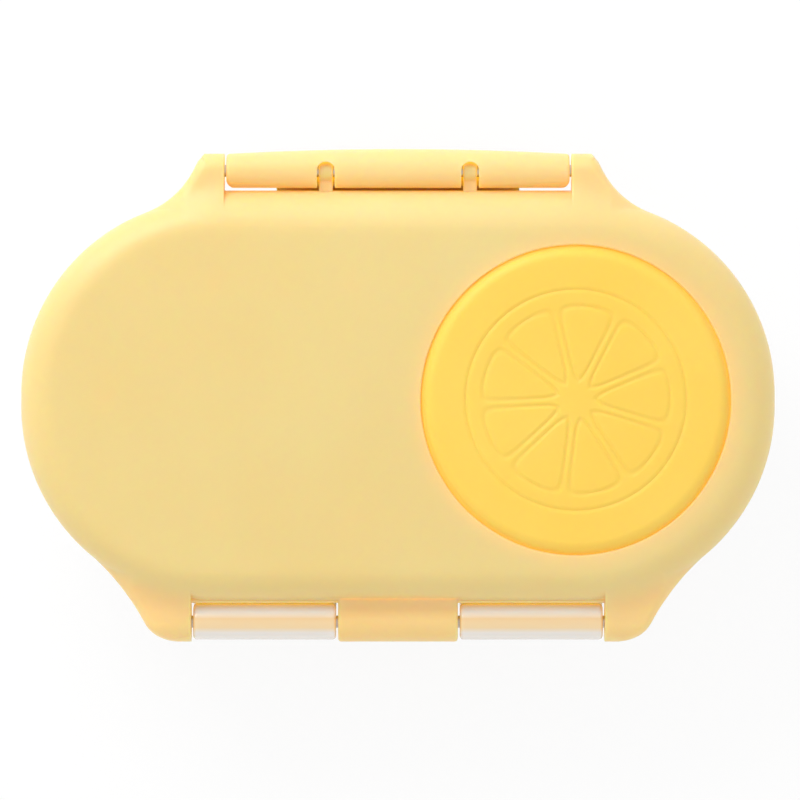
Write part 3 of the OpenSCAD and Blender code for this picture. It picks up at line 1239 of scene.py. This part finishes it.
    def lug(self, x: float) -> bpy.types.Object:
        """Models one lug that holds the latch's pin.

        Args:
            x: Its place along the lid.

        Returns:
            The lug, a closed mesh.
        """
        axis, half_arm, half_t = LATCH_AXIS, self.lug_arm / 2, self.lug_t / 2
        turn = math.degrees(math.asin(half_arm / self.lug_eye_r))
        outline = [(self.lug_y, axis[1] - half_arm)]
        outline += arc(axis, self.lug_eye_r, 180 + turn, 540 - turn, 32)
        outline += [(self.lug_y, axis[1] + half_arm)]
        lug = prism("lug", outline, Plane.SIDE, [x - half_t, x + half_t])
        soften(lug, self.lug_soft)
        return lug

    def inner_parts(self) -> bpy.types.Object:
        """Models the two lugs and the five posts that carry the liner.

        Returns:
            Lugs and posts in one object.
        """
        far_x, near_y = 1.6 * self.corner_x, 0.6 * self.corner_r
        posts = [(-far_x, 0)]
        posts += [(x * self.corner_x, y) for x in (-1, -0.25) for y in (near_y, -near_y)]
        parts = [self.lug(x) for x in (-self.lug_x, self.lug_x)]
        parts += [
            rod("post", self.post_r, self.post_h, Vector((x, y, self.post_z))) for x, y in posts
        ]
        return join(parts)

    def opening(self) -> bpy.types.Object:
        """Models the cutter for the hub's opening, which flares to round the opening's lip.

        Returns:
            The cutter.
        """
        r, lip, start_z, past = self.opening_r, self.lip_r, self.skirt_z + 5, 2
        rings = [(r, start_z)]
        rings += arc((r + lip, self.top_z - lip), lip, 180, 90, 5)
        rings += [(r + lip, self.top_z + past)]
        cutter = lathe("opening", rings, around=288)
        use(cutter)
        cutter.location.x = self.hub_x * MM
        bpy.ops.object.transform_apply()
        return cutter

    def bore(self, name: str, blind_x: float, y: float, z: float) -> bpy.types.Object:
        """Models the cutter for a pin's bore, closed at the left and open at the right.

        Args:
            name: The cutter's name.
            blind_x: Distance of its closed end from the middle.
            y: Place of its axis.
            z: Height of its axis.

        Returns:
            The cutter.
        """
        middle = Vector((BORE_LENGTH / 2 - blind_x, y, z))
        return rod(name, PIN_R + PRESS_GAP, BORE_LENGTH, middle, Axis.X)

    def build(self) -> bpy.types.Object:
        """Models the shell and dresses it.

        Returns:
            The finished shell.
        """
        shell = self.form("lid_shell_moulded", 0, self.skirt_z)
        for wall in (self.latch_wall, self.back_wall, self.knuckle):
            combine(shell, wall(), Solid.UNION)
        LOG.info("lid: walls and knuckle joined")
        for pair in (HINGE_EARS, LATCH_EARS):
            for mirrored in (False, True):
                combine(shell, pair.build(self, mirrored), Solid.UNION)
        LOG.info("lid: ears joined")
        combine(shell, self.form("cavity", self.wall, self.cavity_z), Solid.DIFFERENCE)
        combine(shell, self.inner_parts(), Solid.UNION)
        (hinge_y, hinge_z), (latch_y, latch_z) = HINGE_AXIS, LATCH_AXIS
        bores = [
            self.opening(),
            self.bore("hinge_bore", self.hinge_blind_x, -hinge_y, hinge_z),
            self.bore("latch_bore", self.latch_blind_x, latch_y, latch_z),
        ]
        combine(shell, join(bores), Solid.DIFFERENCE)
        return settle(shell, LID_PLASTIC, Body.LID, "lid_shell")


@dataclass
class FruitHub:
    """The stretchy silicone disc, with a pressed pattern of fruit segments.

    Attributes:
        x_mm: Place of its centre along the lid.
        radius_mm: Radius of the disc that shows.
        wall_mm: Width of its side wall.
        flange_mm: Width of the clamped flange beyond the disc.
        flange_t_mm: Thickness of the flange.
        skin_mm: Thickness of the skin.
        edge_r_mm: Radius round the top edge.
        swell_mm: How far the rubber swells out where it is gripped by the opening.
        ring_step_mm: Spacing of the rings of faces on top.
        segments: Number of fruit segments.
        turn: Angle by which the segments are turned, in radians.
        gap_mm: Half of the gap between two segments.
        core_mm: Distance of the segments' points from the centre.
        reach_mm: Distance of the segments' outer edge from the centre.
        corner_mm: Softness of the segments' corners.
        peel_mm: Radius of the round line outside the segments.
        line_mm: Half width of a pressed line.
        press_mm: Depth of a pressed line.
        soft_mm: Rounding of the hidden edges.
    """

    x_mm: float = 43.5
    radius_mm: float = 37.6
    wall_mm: float = 4.0
    flange_mm: float = 2.6
    flange_t_mm: float = 2.4
    skin_mm: float = 2.4
    edge_r_mm: float = 3.0
    swell_mm: float = 0.26
    ring_step_mm: float = 0.4
    segments: int = 9
    turn: float = 0.3
    gap_mm: float = 0.9
    core_mm: float = 4.2
    reach_mm: float = 23.0
    corner_mm: float = 1.1
    peel_mm: float = 27.0
    line_mm: float = 0.42
    press_mm: float = 0.32
    soft_mm: float = 0.3

    def build(self) -> bpy.types.Object:
        """Models the disc ring by ring and dresses it.

        Returns:
            The finished hub.
        """
        low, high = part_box("fruit_hub")
        disc = lathe("fruit_hub_silicone", self.rings(low[2] / MM, high[2] / MM), around=288)
        self.press(disc, high[2])
        use(disc)
        disc.location = (self.x_mm * MM, 0, 0)
        bpy.ops.object.transform_apply()
        return settle(disc, HUB_SILICONE, Body.LID, "fruit_hub", 50.0)

    def rings(self, low_mm: float, high_mm: float) -> list[Point]:
        """Radius and height of each ring, from under the skin round the flange and over the top.

        Args:
            low_mm: Height of the flange's underside.
            high_mm: Height of the disc's top.

        Returns:
            The rings in order.
        """
        inner = self.radius_mm - self.wall_mm
        under = high_mm - self.skin_mm
        flange = self.radius_mm + self.flange_mm
        flange_top = low_mm + self.flange_t_mm
        soft, heart, corner, neck = self.soft_mm, 0.4, 1.0, 0.1
        rings = [(heart, under), (inner / 2, under), (inner - corner, under)]
        rings += [(inner - soft, under - soft), (inner, under - corner), (inner, low_mm + soft)]
        rings += [(inner + soft, low_mm), (flange - soft, low_mm), (flange, low_mm + soft)]
        rings += [(flange, flange_top - soft), (flange - soft, flange_top)]
        grip, grip_drop, edge_drop = self.radius_mm + self.swell_mm, 1.9, 1.6
        rings += [(grip + soft, flange_top), (grip, flange_top + neck)]
        rings += [(grip, high_mm - grip_drop)]
        edge = self.edge_r_mm
        centre = (self.radius_mm - edge, high_mm - edge)
        rings += [p for p in arc(centre, edge, 0, 90, 15) if p[1] > high_mm - edge_drop]
        r = self.radius_mm - edge - self.ring_step_mm
        while r > self.ring_step_mm:
            rings.append((r, high_mm))
            r -= self.ring_step_mm
        return rings

    def pattern(self, x_mm: float, y_mm: float) -> float:
        """Depth of the pressed lines at a place on the disc, from 0 to 1.

        Args:
            x_mm: Distance right of the disc's centre.
            y_mm: Distance above the disc's centre.

        Returns:
            1 in the middle of a line, 0 away from one.
        """
        r = math.hypot(x_mm, y_mm)
        wedge = 2 * math.pi / self.segments
        turn = (math.atan2(y_mm, x_mm) + self.turn) % wedge - wedge / 2
        side = r * math.sin(wedge / 2 - abs(turn)) - self.gap_mm
        inset = [side, self.reach_mm - r, r - self.core_mm]
        depth = -self.corner_mm * math.log(sum(math.exp(-d / self.corner_mm) for d in inset))
        outline = math.exp(-((depth / self.line_mm) ** 2))
        peel = math.exp(-(((r - self.peel_mm) / self.line_mm) ** 2))
        return max(outline, peel)

    def press(self, disc: bpy.types.Object, top_z: float) -> None:
        """Presses the pattern's lines into the top of the disc.

        The vertices are moved by a formula, which gives the soft lines that no operator does.

        Args:
            disc: The disc, centred on its own axis.
            top_z: Height of its top, in metres.
        """
        level = 0.01 * MM
        for vertex in disc.data.vertices:
            if vertex.co.z > top_z - level:
                share = self.pattern(vertex.co.x / MM, vertex.co.y / MM)
                vertex.co.z -= self.press_mm * MM * share


@dataclass
class Latch:
    """The swinging front latch: barrel, flap and hook in one moulding, in millimetres.

    Attributes:
        axis_y: Distance of its pin from the middle line.
        axis_z: Height of its pin.
        barrel_r: Radius of its barrel.
        half_w: Half of its width.
        bow: How far the middle of its face stands out.
        flap_len: Length of the flap below the pin.
        flap_t: Thickness of the flap at its middle.
        corner_r: Radius of the flap's lower corners.
        end_r: Radius of the barrel's corners towards the lid.
        slot_x: Distance of each slot from the middle.
        slot_w: Width of each slot.
        slot_past: Reach of each slot past the pin.
        pocket_r: Radius of the round pocket for the lug's eye.
        soft: Width of the rounding along its edges.
        nip: How far the corner cutters stand off, so that they cross the sides at a clear angle.
        hook_x: Half of the hook's width.
        hook_y: Where the hook starts and ends, seen from the side.
        hook_z: Heights of its underside and its top.
        hook_soft: Rounding of its edges.
    """

    axis_y: float = LATCH_AXIS[0]
    axis_z: float = LATCH_AXIS[1]
    barrel_r: float = 4.2
    half_w: float = 42.1
    bow: float = 1.2
    flap_len: float = 22.0
    flap_t: float = 2.8
    corner_r: float = 6.0
    end_r: float = 2.0
    slot_x: float = 17.7
    slot_w: float = 4.4
    slot_past: float = 2.154
    pocket_r: float = 3.1
    soft: float = 0.7
    nip: float = 0.02
    hook_x: float = 30.0
    hook_y: Point = (49.5, 60.3)
    hook_z: Point = (24.9, 27.5)
    hook_soft: float = 0.5

    def section(self) -> list[Point]:
        """Side view of barrel, brow and flap.

        Returns:
            The outline's points in order.
        """
        y, z = self.axis_y, self.axis_z
        inner = self.barrel_r + self.bow - self.flap_t
        turn = math.degrees(math.acos(inner / self.barrel_r))
        face = y + self.barrel_r + self.bow
        points = [(face, z - self.flap_len)]
        points += arc((y, z - self.bow), self.barrel_r + self.bow, 0, 90, 16)
        points += arc((y, z), self.barrel_r, 90, 360 - turn, 32)[1:]
        points.append((y + inner, z - self.flap_len))
        return points

    def bow_face(self, latch: bpy.types.Object) -> None:
        """Bows the face: the ends of barrel and flap are drawn back from the middle.

        The vertices are moved by a formula, since the bow grows with the square of the distance.

        Args:
            latch: The latch before its corners are cut.
        """
        reach = (self.barrel_r + self.bow) * MM
        for vertex in latch.data.vertices:
            share = min(max((vertex.co.y - self.axis_y * MM) / reach, 0.0), 1.0)
            vertex.co.y -= share * self.bow * MM * (vertex.co.x / (self.half_w * MM)) ** 2

    def corner_cutter(self, side: int) -> bpy.types.Object:
        """Models the cutter for one lower corner of the flap.

        Args:
            side: 1 for the right-hand corner and -1 for the left-hand one.

        Returns:
            The cutter, drawn in X and Z.
        """
        r = self.corner_r
        centre = (self.half_w - r + self.nip, self.axis_z - self.flap_len + r - self.nip)
        past = 2
        below, beside = centre[1] - r - past, self.half_w + past
        outline = arc(centre, r, 0, -90, 12)
        outline += [(centre[0], below), (beside, below), (beside, centre[1])]
        through = [-70, -50]
        cutter = prism("flap_corner", outline, Plane.PLAN, through)
        use(cutter)
        cutter.rotation_euler = (math.pi / 2, 0, 0)
        cutter.scale.x = side
        bpy.ops.object.transform_apply()
        bpy.ops.object.mode_set(mode="EDIT")
        close_and_turn_out()
        return cutter

    def end_cutter(self, side: int) -> bpy.types.Object:
        """Models the cutter that rounds one end of the barrel towards the lid.

        Args:
            side: 1 for the right-hand end and -1 for the left-hand one.

        Returns:
            The cutter, drawn in X and Y.
        """
        r = self.end_r
        centre = (self.half_w - r + self.nip, self.axis_y - self.barrel_r + r - self.nip)
        past, through = 1, [28, 44]
        behind, beside = centre[1] - r - past, self.half_w + past
        outline = arc(centre, r, 0, -90, 10)
        outline += [(centre[0], behind), (beside, behind), (beside, centre[1])]
        return prism("barrel_end", [(side * x, y) for x, y in outline], Plane.PLAN, through)

    def slot(self, x: float) -> bpy.types.Object:
        """Models the cutter for one slot: a U from the back with a round end.

        Args:
            x: The slot's middle.

        Returns:
            The cutter.
        """
        half, back_y, past_z = self.slot_w / 2, self.axis_y - 10, 60
        end = (x, self.axis_y + self.slot_past - half)
        outline = [(x - half, back_y), (x + half, back_y)]
        outline += arc(end, half, 0, 180, 20)
        return prism("slot", outline, Plane.PLAN, [self.axis_z - self.slot_past, past_z])

    def hook(self) -> bpy.types.Object:
        """Models the hook that grips the tub's catch.

        Returns:
            The hook, a closed mesh.
        """
        (near, far), (low, high) = self.hook_y, self.hook_z
        start, end = Vector((-self.hook_x, near, low)), Vector((self.hook_x, far, high))
        hook = block("hook", start, end)
        soften(hook, self.hook_soft)
        return hook

    def build(self) -> bpy.types.Object:
        """Models the latch and dresses it.

        Returns:
            The finished latch.
        """
        inner = [float(x) for x in range(-33, 34, 6)]
        columns = [-self.half_w, *inner, self.half_w]
        latch = prism("latch_moulded", self.section(), Plane.SIDE, columns)
        self.bow_face(latch)
        for side in (-1, 1):
            combine(latch, self.corner_cutter(side), Solid.DIFFERENCE)
            combine(latch, self.end_cutter(side), Solid.DIFFERENCE)
        clean(latch)
        soften(latch, self.soft, 50)
        combine(latch, self.hook(), Solid.UNION)
        slots = [self.slot(x) for x in (-self.slot_x, self.slot_x)]
        combine(latch, join(slots), Solid.DIFFERENCE)
        axis = Vector((0, self.axis_y, self.axis_z))
        pockets = [
            rod("pocket", self.pocket_r, self.slot_w, axis + Vector((x, 0, 0)), Axis.X)
            for x in (-self.slot_x, self.slot_x)
        ]
        combine(latch, join(pockets), Solid.DIFFERENCE)
        combine(latch, rod("bore", PIN_R + RUN_GAP, BORE_LENGTH, axis, Axis.X), Solid.DIFFERENCE)
        return settle(latch, LID_PLASTIC, Body.LATCH, "latch")


@dataclass
class Tub:
    """The frosted tub with its flange, inner walls, catch and hinge knuckles, in millimetres.

    Attributes:
        corner_x: Distance of each corner's centre from the middle, along X.
        corner_y: The same along Y.
        rim_r: Radius of the rim's corners, outside.
        rim_z: Height of the rim.
        lean: How far the side leans out from foot to rim.
        wall: Thickness of sides and floor.
        foot_x: Radius at which the foot's curve starts.
        foot_r: Radius of that curve.
        flange_r: Radius of the flange's corners.
        flange_low: Height of the flange's underside.
        flange_top: Height of its top.
        edge: Rounding of the flange and the rim.
        well_x: Place of the centre of the curved inner wall.
        well_r: Its outer radius.
        well_wall: Its thickness.
        well_turn: Half of the angle that it spans, in degrees.
        wall_low: Height at which the inner walls start, inside the floor.
        wall_soft: Rounding of their edges.
        rib_x: Places of the ribs that hold the divider.
        rib_w: Width of a rib.
        rib_y: Distance of the ribs' faces from the middle line.
        sink: How far joined forms stay off each other's faces.
        catch_x: Half of the catch's width.
        catch_y: Where the catch ends, seen from the side.
        catch_soft: Rounding of its edges.
        root_y: Where catch and knuckle arms start, inside the side.
        arm_y: Where the upper face of a knuckle's arm ends.
        knuckle_y: Distance of the hinge pin from the middle line.
        knuckle_r: Radius of the hinge knuckles.
        knuckle_x: Where the right-hand knuckle starts and ends.
        knuckle_soft: Rounding of their ends.
    """

    corner_x: float = 44.8
    corner_y: float = 1.5
    rim_r: float = 44.67
    rim_z: float = HINGE_AXIS[1]
    lean: float = 4.0
    wall: float = 2.0
    foot_x: float = 34.446
    foot_r: float = 7.0
    flange_r: float = 46.9
    flange_low: float = 27.8
    flange_top: float = 30.6
    edge: float = 0.7
    well_x: float = 51.9
    well_r: float = 50.0
    well_wall: float = 1.8
    well_turn: float = 70.4
    wall_low: float = 1.0
    wall_soft: float = 0.5
    rib_x: Point = (-43.95, -40.05)
    rib_w: float = 1.6
    rib_y: float = 33.17
    sink: float = 0.03
    catch_x: float = 31.0
    catch_y: float = 50.4
    catch_soft: float = 0.5
    root_y: float = 45.17
    arm_y: float = 49.5
    knuckle_y: float = HINGE_AXIS[0]
    knuckle_r: float = 4.4
    knuckle_x: Point = (15.2, 50.3)
    knuckle_soft: float = 0.9

    def side(self, inset: float, z: float) -> float:
        """Radius of the leaning side at a height, drawn in by an inset."""
        slope = self.lean / self.rim_z
        return self.rim_r - inset * math.hypot(1, slope) - (self.rim_z - z) * slope

    def foot(self, inset: float) -> list[Point]:
        """The foot's curve from the floor up to the side, drawn in by an inset."""
        lean = math.degrees(math.atan(self.lean / self.rim_z))
        return arc((self.foot_x, self.foot_r), self.foot_r - inset, -90, -lean, 12)

    def fill(self, name: str, inset: float, high_z: float) -> bpy.types.Object:
        """Builds the solid that fills the tub.

        Args:
            name: Name of the new object.
            inset: Distance in from the tub's outer face.
            high_z: Height of its flat top.

        Returns:
            The solid.
        """
        rings = [(HEART_R, inset), *self.foot(inset)]
        rings += [(self.side(inset, high_z), high_z), (HEART_R, high_z)]
        return lathe(name, rings, (self.corner_x, self.corner_y))

    def shell(self) -> bpy.types.Object:
        """Models floor, sides, flange and rim in one turn of rings.

        Returns:
            The shell, a closed mesh.
        """
        low, top, rim, edge = self.flange_low, self.flange_top, self.rim_z, self.edge
        lip = edge / 2
        rings = [(HEART_R, 0.0), *self.foot(0.0), (self.side(0, low), low)]
        rings += arc((self.flange_r - edge, low + edge), edge, -90, 0, 4)
        rings += arc((self.flange_r - edge, top - edge), edge, 0, 90, 4)
        rings += [(self.side(0, top), top)]
        rings += arc((self.side(0, rim) - edge, rim - edge), edge, 0, 90, 4)
        rings += arc((self.side(self.wall, rim) + lip, rim - lip), lip, 90, 180, 4)
        rings += [*reversed(self.foot(self.wall)), (HEART_R, self.wall)]
        return lathe("tub_moulded", rings, (self.corner_x, self.corner_y))

    def inner_walls(self) -> bpy.types.Object:
        """Models the curved wall of the fruit well and the ribs for the divider.

        Returns:
            Wall and ribs in one object.
        """
        centre, turn, drop, past_y = (self.well_x, 0.0), self.well_turn, 0.05, 60
        low, high, past_z = self.wall_low, self.rim_z - drop, self.rim_z + 1
        outline = arc(centre, self.well_r, 180 - turn, 180 + turn, 64)
        outline += arc(centre, self.well_r - self.well_wall, 180 + turn, 180 - turn, 64)
        walls = prism("well_wall", outline, Plane.PLAN, [low, high])
        soften(walls, self.wall_soft, 60)
        half = self.rib_w / 2
        ribs = [
            block("rib", Vector((x - half, near, low)), Vector((x + half, far, high)))
            for x in self.rib_x
            for near, far in ((-past_y, -self.rib_y), (self.rib_y, past_y))
        ]
        ribs = join(ribs)
        combine(ribs, self.fill("rib_face", 2 * self.wall, past_z), Solid.DIFFERENCE)
        walls = join([walls, ribs])
        combine(walls, self.fill("wall_reach", self.wall / 2, past_z), Solid.INTERSECT)
        return walls

    def catch(self) -> bpy.types.Object:
        """Models the ledge that the latch's hook grips.

        Returns:
            The ledge, a closed mesh.
        """
        low = Vector((-self.catch_x, self.root_y, self.flange_low + self.sink))
        high = Vector((self.catch_x, self.catch_y, self.flange_top - self.sink))
        catch = block("catch", low, high)
        soften(catch, self.catch_soft)
        return catch

    def knuckle(self, start: float, end: float) -> bpy.types.Object:
        """Models one hinge knuckle with its arm and bore.

        Args:
            start: Where it starts along X.
            end: Where it ends.

        Returns:
            The knuckle.
        """
        axis, last, past = (self.knuckle_y, self.rim_z), -45, 2
        low, high = self.flange_low + self.sink, self.flange_top - self.sink
        outline = [(self.root_y, low), (self.root_y, high), (self.arm_y, high)]
        outline += arc(axis, self.knuckle_r, 360 + bearing(axis, outline[-1]), last, 40)
        outline = [(-y, z) for y, z in outline]
        knuckle = prism("knuckle", outline, Plane.SIDE, [start, end])
        soften(knuckle, self.knuckle_soft, 60, 4)
        middle = Vector(((start + end) / 2, -self.knuckle_y, self.rim_z))
        length = end - start + 2 * past
        bore = rod("knuckle_bore", PIN_R + RUN_GAP, length, middle, Axis.X)
        combine(knuckle, bore, Solid.DIFFERENCE)
        return knuckle

    def build(self) -> None:
        """Models the tub and its knuckles and dresses them."""
        tub = self.shell()
        combine(tub, self.inner_walls(), Solid.UNION)
        combine(tub, self.catch(), Solid.UNION)
        settle(tub, TUB_PLASTIC, Body.TUB, "base")
        start, end = self.knuckle_x
        knuckles = join([self.knuckle(start, end), self.knuckle(-end, -start)])
        knuckles.name = "tub_hinge_knuckles"
        settle(knuckles, KNUCKLE_PLASTIC, Body.TUB, "base")


@dataclass
class Inside:
    """The pieces that keep their CAD form: divider, liner, seal and pins.

    Attributes:
        finishes: Each piece's node and its finish.
    """

    finishes: tuple[tuple[str, Finish], ...] = (
        ("divider", DIVIDER_PLASTIC),
        ("lid_liner", LINER_PLASTIC),
        ("lid_seal", SEAL_SILICONE),
        ("latch_pin", PIN_STEEL),
        ("hinge_pin", PIN_STEEL),
    )

    def build(self) -> None:
        """Dresses each of them."""
        for node, finish in self.finishes:
            dress(node, finish)


@dataclass
class Studio:
    """Plain pale floor, even light and the camera that looks straight down.

    Attributes:
        view_w_mm: Width that the picture covers at the height of the lid's edge.
        aim_x_mm: Place under the middle of the picture.
        focus_z_mm: Height at which that width is measured.
        distance_mm: Height of the camera.
        sensor_mm: Width of the camera's sensor.
        sky: Strength of the even light from all round.
        key_w: Power of the large lamp at the upper left.
        key_place_m: Place of that lamp.
        key_size_m: Its width.
        floor_lift: Share of the floor that shows white to the camera.
        floor_m: Width of the floor.
    """

    view_w_mm: float = 196.3
    aim_x_mm: float = 0.5
    focus_z_mm: float = 38.0
    distance_mm: float = 1800.0
    sensor_mm: float = 36.0
    sky: float = 0.88
    key_w: float = 3.3
    key_place_m: tuple[float, float, float] = (-0.35, 0.6, 0.45)
    key_size_m: float = 0.45
    floor_lift: float = 0.85
    floor_m: float = 6.0

    def build(self) -> None:
        """Builds floor, light and camera."""
        self.floor()
        self.world()
        self.key_lamp()
        self.camera()
        bpy.context.scene.view_settings.view_transform = "Standard"

    def floor(self) -> None:
        """Adds the floor, which keeps the container's soft shadow."""
        bpy.ops.object.select_all(action="DESELECT")
        bpy.ops.mesh.primitive_plane_add(size=self.floor_m, location=(0, 0, 0))
        ground = bpy.context.object
        ground.name = "floor"
        made = bpy.data.materials.new("studio_white")
        made.use_nodes = True
        tree = made.node_tree
        tree.nodes.clear()
        path = add_node(tree, "LightPath")
        lift = add_node(
            tree,
            "Math",
            {"operation": "MULTIPLY"},
            {0: path.outputs["Is Camera Ray"]},
        )
        lift.inputs[1].default_value = self.floor_lift
        plain = add_node(tree, "BsdfDiffuse", {"Color": linear("fafafa")})
        white = add_node(tree, "Emission", {"Color": linear("ffffff"), "Strength": 1.0})
        both = add_node(
            tree,
            "MixShader",
            links={0: lift.outputs[0], 1: plain.outputs[0], 2: white.outputs[0]},
        )
        add_node(tree, "OutputMaterial", links={"Surface": both.outputs[0]})
        ground.data.materials.append(made)

    def world(self) -> None:
        """Lights the scene evenly and shows white behind it."""
        sky = bpy.data.worlds.new("studio_sky")
        bpy.context.scene.world = sky
        sky.use_nodes = True
        tree = sky.node_tree
        tree.nodes.clear()
        path = add_node(tree, "LightPath")
        seen = add_node(
            tree,
            "Math",
            {"operation": "MAXIMUM"},
            {0: path.outputs["Is Camera Ray"], 1: path.outputs["Is Transmission Ray"]},
        )
        strength = add_node(
            tree,
            "MapRange",
            {"To Min": self.sky, "To Max": 1.0},
            {"Value": seen.outputs[0]},
        )
        light = add_node(
            tree,
            "Background",
            {"Color": linear("ffffff")},
            {"Strength": strength.outputs["Result"]},
        )
        add_node(tree, "OutputWorld", links={"Surface": light.outputs[0]})

    def key_lamp(self) -> None:
        """Adds the large square lamp, which faces the container."""
        data = bpy.data.lights.new("key", "AREA")
        data.size = self.key_size_m
        data.energy = self.key_w
        lamp = bpy.data.objects.new("key", data)
        lamp.location = self.key_place_m
        lamp.rotation_euler = Vector(self.key_place_m).to_track_quat("Z", "Y").to_euler()
        bpy.context.scene.collection.objects.link(lamp)

    def camera(self) -> None:
        """Adds the camera above the container, with the latch at the top of the picture."""
        data = bpy.data.cameras.new("camera")
        data.sensor_width = self.sensor_mm
        data.lens = self.sensor_mm * (self.distance_mm - self.focus_z_mm) / self.view_w_mm
        data.clip_end = 20.0  # metres
        camera = bpy.data.objects.new("camera", data)
        camera.location = (self.aim_x_mm * MM, 0, self.distance_mm * MM)
        bpy.context.scene.collection.objects.link(camera)
        bpy.context.scene.camera = camera


def main() -> None:
    """Builds the container's pieces in order and sets up the studio."""
    logging.basicConfig(level=logging.INFO, format="%(asctime)s %(name)s: %(message)s")
    Lid().build()
    FruitHub().build()
    Latch().build()
    Tub().build()
    Inside().build()
    Studio().build()


if __name__ == "__main__":
    main()
